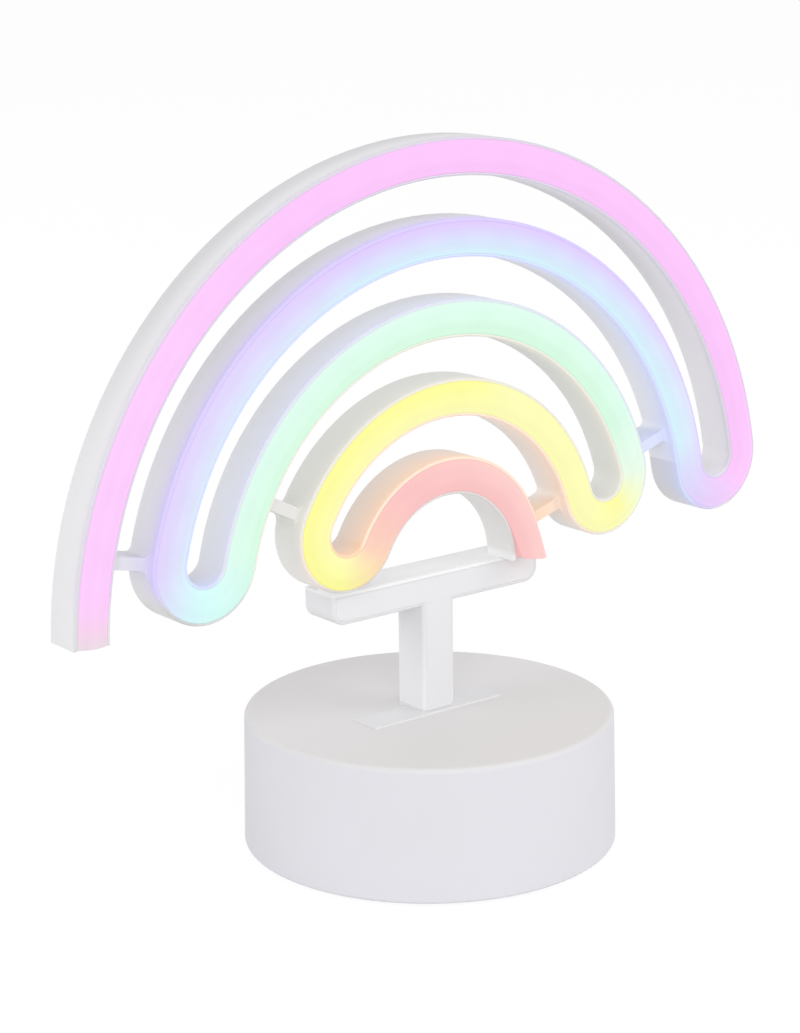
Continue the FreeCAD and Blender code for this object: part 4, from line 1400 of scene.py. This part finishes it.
@dataclass
class PowerTray:
    """The three cells with their springs and contact sheets.

    A cell's pole side is the way that its raised pole points, 1 for the right and -1 for the left.
    """

    pole_sides: tuple[int, ...] = (1, -1, 1)
    turns: float = 2.5
    wire: float = 0.35 * MM
    wide: float = 4.6 * MM
    narrow: float = 3.0 * MM
    steps: int = 28
    facets: int = 12

    def coil(self, index: int, pole_side: int, centre: Vector) -> None:
        """Winds one conical spring where its solid is.

        Args:
            index: The cell's number.
            pole_side: The cell's pole side.
            centre: The cell's middle.
        """
        node = f"spring_{index}"
        low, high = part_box(node)
        foot = low.x if pole_side > 0 else high.x
        form = Form(f"coil_{index}")
        spiral = form.node("GeometryNodeCurveSpiral", {
            "Resolution": form.size("Steps a Turn", self.steps),
            "Rotations": form.size("Turns", self.turns),
            "Start Radius": form.size("Wide Radius", self.wide),
            "End Radius": form.size("Narrow Radius", self.narrow),
            "Height": form.size("Rise", high.x - low.x - 2 * self.wire),
        })
        ring = form.node("GeometryNodeCurvePrimitiveCircle", {
            "Resolution": form.size("Wire Facets", self.facets),
            "Radius": form.size("Wire Radius", self.wire),
        })
        wound = form.node("GeometryNodeCurveToMesh", {
            "Curve": spiral, "Profile Curve": ring, "Fill Caps": True,
        })
        form.close(wound, SPRING.material())
        mesh = form.grow(shown(node, bpy.data.meshes.new(node)))
        start = Vector((foot + pole_side * self.wire, centre.y, centre.z))
        mesh.transform(Matrix.Translation(start) @ spin(90.0 * pole_side, "Y"))
        settle(f"coil_spring_{index}", tidy_mesh(mesh), Body.LAMP, Slot.STEEL, node)

    def build(self) -> None:
        """Winds the springs and dresses the cells and the sheets."""
        for index, pole_side in enumerate(self.pole_sides, start=1):
            cell = f"cell_{index}"
            low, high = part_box(cell)
            centre = (low + high) / 2
            self.coil(index, pole_side, centre)
            dress(CellJacket(f"cell_sleeve_{index}", pole_side=pole_side, middle=centre.x), cell)
        dress(STEEL, "negative_terminal", "left_bridge", "right_bridge", "positive_terminal")


@dataclass
class Controls:
    """The driver board, the slide switch and the leads between them."""

    def build(self) -> None:
        """Dresses the board, the switch, their screws and the leads."""
        dress(BOARD, "control_board")
        dress(DARK, "driver_chip", "resistors", "switch_body")
        dress(KNOB, "switch_knob")
        dress(STEEL, "board_screws", "switch_screws", "sign_screws")
        dress(BLACK_LEAD, "battery_lead_negative", "switch_lead_left", "sign_lead_negative")
        dress(RED_LEAD, "battery_lead_positive", "switch_lead_right", "sign_lead_positive")


# The studio

@dataclass(frozen=True)
class SoftBox:
    """A large soft lamp that faces a point above the table."""

    name: str
    azimuth: float
    elevation: float
    distance: float
    size: float
    power: float

    def hang(self, target: Vector) -> None:
        """Puts the lamp in the scene.

        Args:
            target: The point that it faces.
        """
        light = bpy.data.lights.new(self.name, "AREA")
        light.shape = "DISK"
        light.size = self.size
        light.energy = self.power
        front = Vector((0.0, -1.0, 0.0))
        way = spin(self.azimuth, "Z") @ spin(-self.elevation, "X") @ front
        lamp = shown(self.name, light)
        lamp.location = target + way * self.distance
        lamp.rotation_euler = (-way).to_track_quat("-Z", "Y").to_euler()


@dataclass
class Studio:
    """A white table, even light and the camera at the picture's angle."""

    image_height: float = 1033.0
    focal: float = 2558.05
    sensor: float = 36.0
    clip: float = 10.0 * MM
    distance: float = 648.447 * MM
    height: float = 258.074 * MM
    turn: float = 38.88
    pitch: float = 14.642
    yaw: float = -0.633
    roll: float = -0.652
    table: float = 24.0
    drop: float = 0.05 * MM
    matt: Colour = tone(244, 244, 244)
    bright: float = 0.9
    white: float = 1.03
    fill: float = 0.62
    boxes: tuple[SoftBox, ...] = (
        SoftBox("front_box", -38.0, 24.0, 1.6, 1.3, 7.5),
        SoftBox("left_box", -105.0, 26.0, 1.6, 1.1, 3.7),
        SoftBox("right_box", 42.0, 26.0, 1.6, 1.1, 5.6),
        SoftBox("rear_box", 165.0, 40.0, 1.8, 1.2, 1.2),
    )

    def camera(self) -> None:
        """Sets the camera where the picture was taken from."""
        stand = Matrix.Translation((0.0, -self.distance, self.height))
        look = spin(-self.yaw, "Z") @ spin(90.0 - self.pitch, "X") @ spin(self.roll, "Z")
        data = bpy.data.cameras.new("view")
        data.sensor_width = self.sensor
        data.lens = self.focal * self.sensor / self.image_height
        data.clip_start = self.clip
        camera = shown("view", data)
        camera.matrix_world = spin(-self.turn, "Z") @ stand @ look
        bpy.context.scene.camera = camera

    @staticmethod
    def seen(graph: Graph) -> Socket:
        """Tells rays that show the background itself from rays that light.

        Args:
            graph: The tree that asks.

        Returns:
            One for the first, nought for the others.
        """
        rays = graph.node("ShaderNodeLightPath").end.node.outputs
        return graph.clamp(sum(
            Socket(graph, rays[f"Is {kind} Ray"]) for kind in ("Camera", "Glossy", "Transmission")
        ))

    def backdrop(self) -> None:
        """Makes the sky white to the eye and softer as a light."""
        world = bpy.data.worlds.new("white_room")
        world.use_nodes = True
        world.node_tree.nodes.clear()
        graph = Graph(world.node_tree)
        shine = graph.node("ShaderNodeBackground", {
            "Color": WHITE, "Strength": self.fill + (1 - self.fill) * self.seen(graph),
        })
        graph.node("ShaderNodeOutputWorld", {"Surface": shine})
        bpy.context.scene.world = world

    def floor(self) -> None:
        """Lays the pale table, which keeps the lamp's shadow."""
        half = self.table / 2
        corners = ((-half, -half), (half, -half), (half, half), (-half, half))
        mesh = bpy.data.meshes.new("table")
        mesh.from_pydata([(x, y, -self.drop) for x, y in corners], [], [(0, 1, 2, 3)])
        shader = Shader("white_table")
        matt = shader.node("ShaderNodeBsdfDiffuse", {"Color": self.matt})
        white = shader.node("ShaderNodeEmission", {"Color": WHITE, "Strength": self.white})
        both = shader.node("ShaderNodeMixShader", {
            0: self.bright * self.seen(shader), 1: matt, 2: white,
        })
        shader.node("ShaderNodeOutputMaterial", {"Surface": both})
        mesh.materials.append(shader.material)
        shown("table", mesh)

    def build(self) -> None:
        """Sets the stage."""
        bpy.context.scene.view_settings.view_transform = "Standard"
        low, high = CAD_BOX
        target = (low + high) / 2
        for box in self.boxes:
            box.hang(target)
        self.backdrop()
        self.floor()
        self.camera()
        LOG.info("stage set with %d soft boxes", len(self.boxes))


def main() -> None:
    """Builds the lamp's looks, piece by piece."""
    logging.basicConfig(level=logging.INFO, format="%(name)s: %(message)s")
    for assembly in (Studio(), NeonSign(), BatteryBase(), PowerTray(), Controls()):
        assembly.build()
        LOG.info("%s done", type(assembly).__name__)


if __name__ == "__main__":
    main()
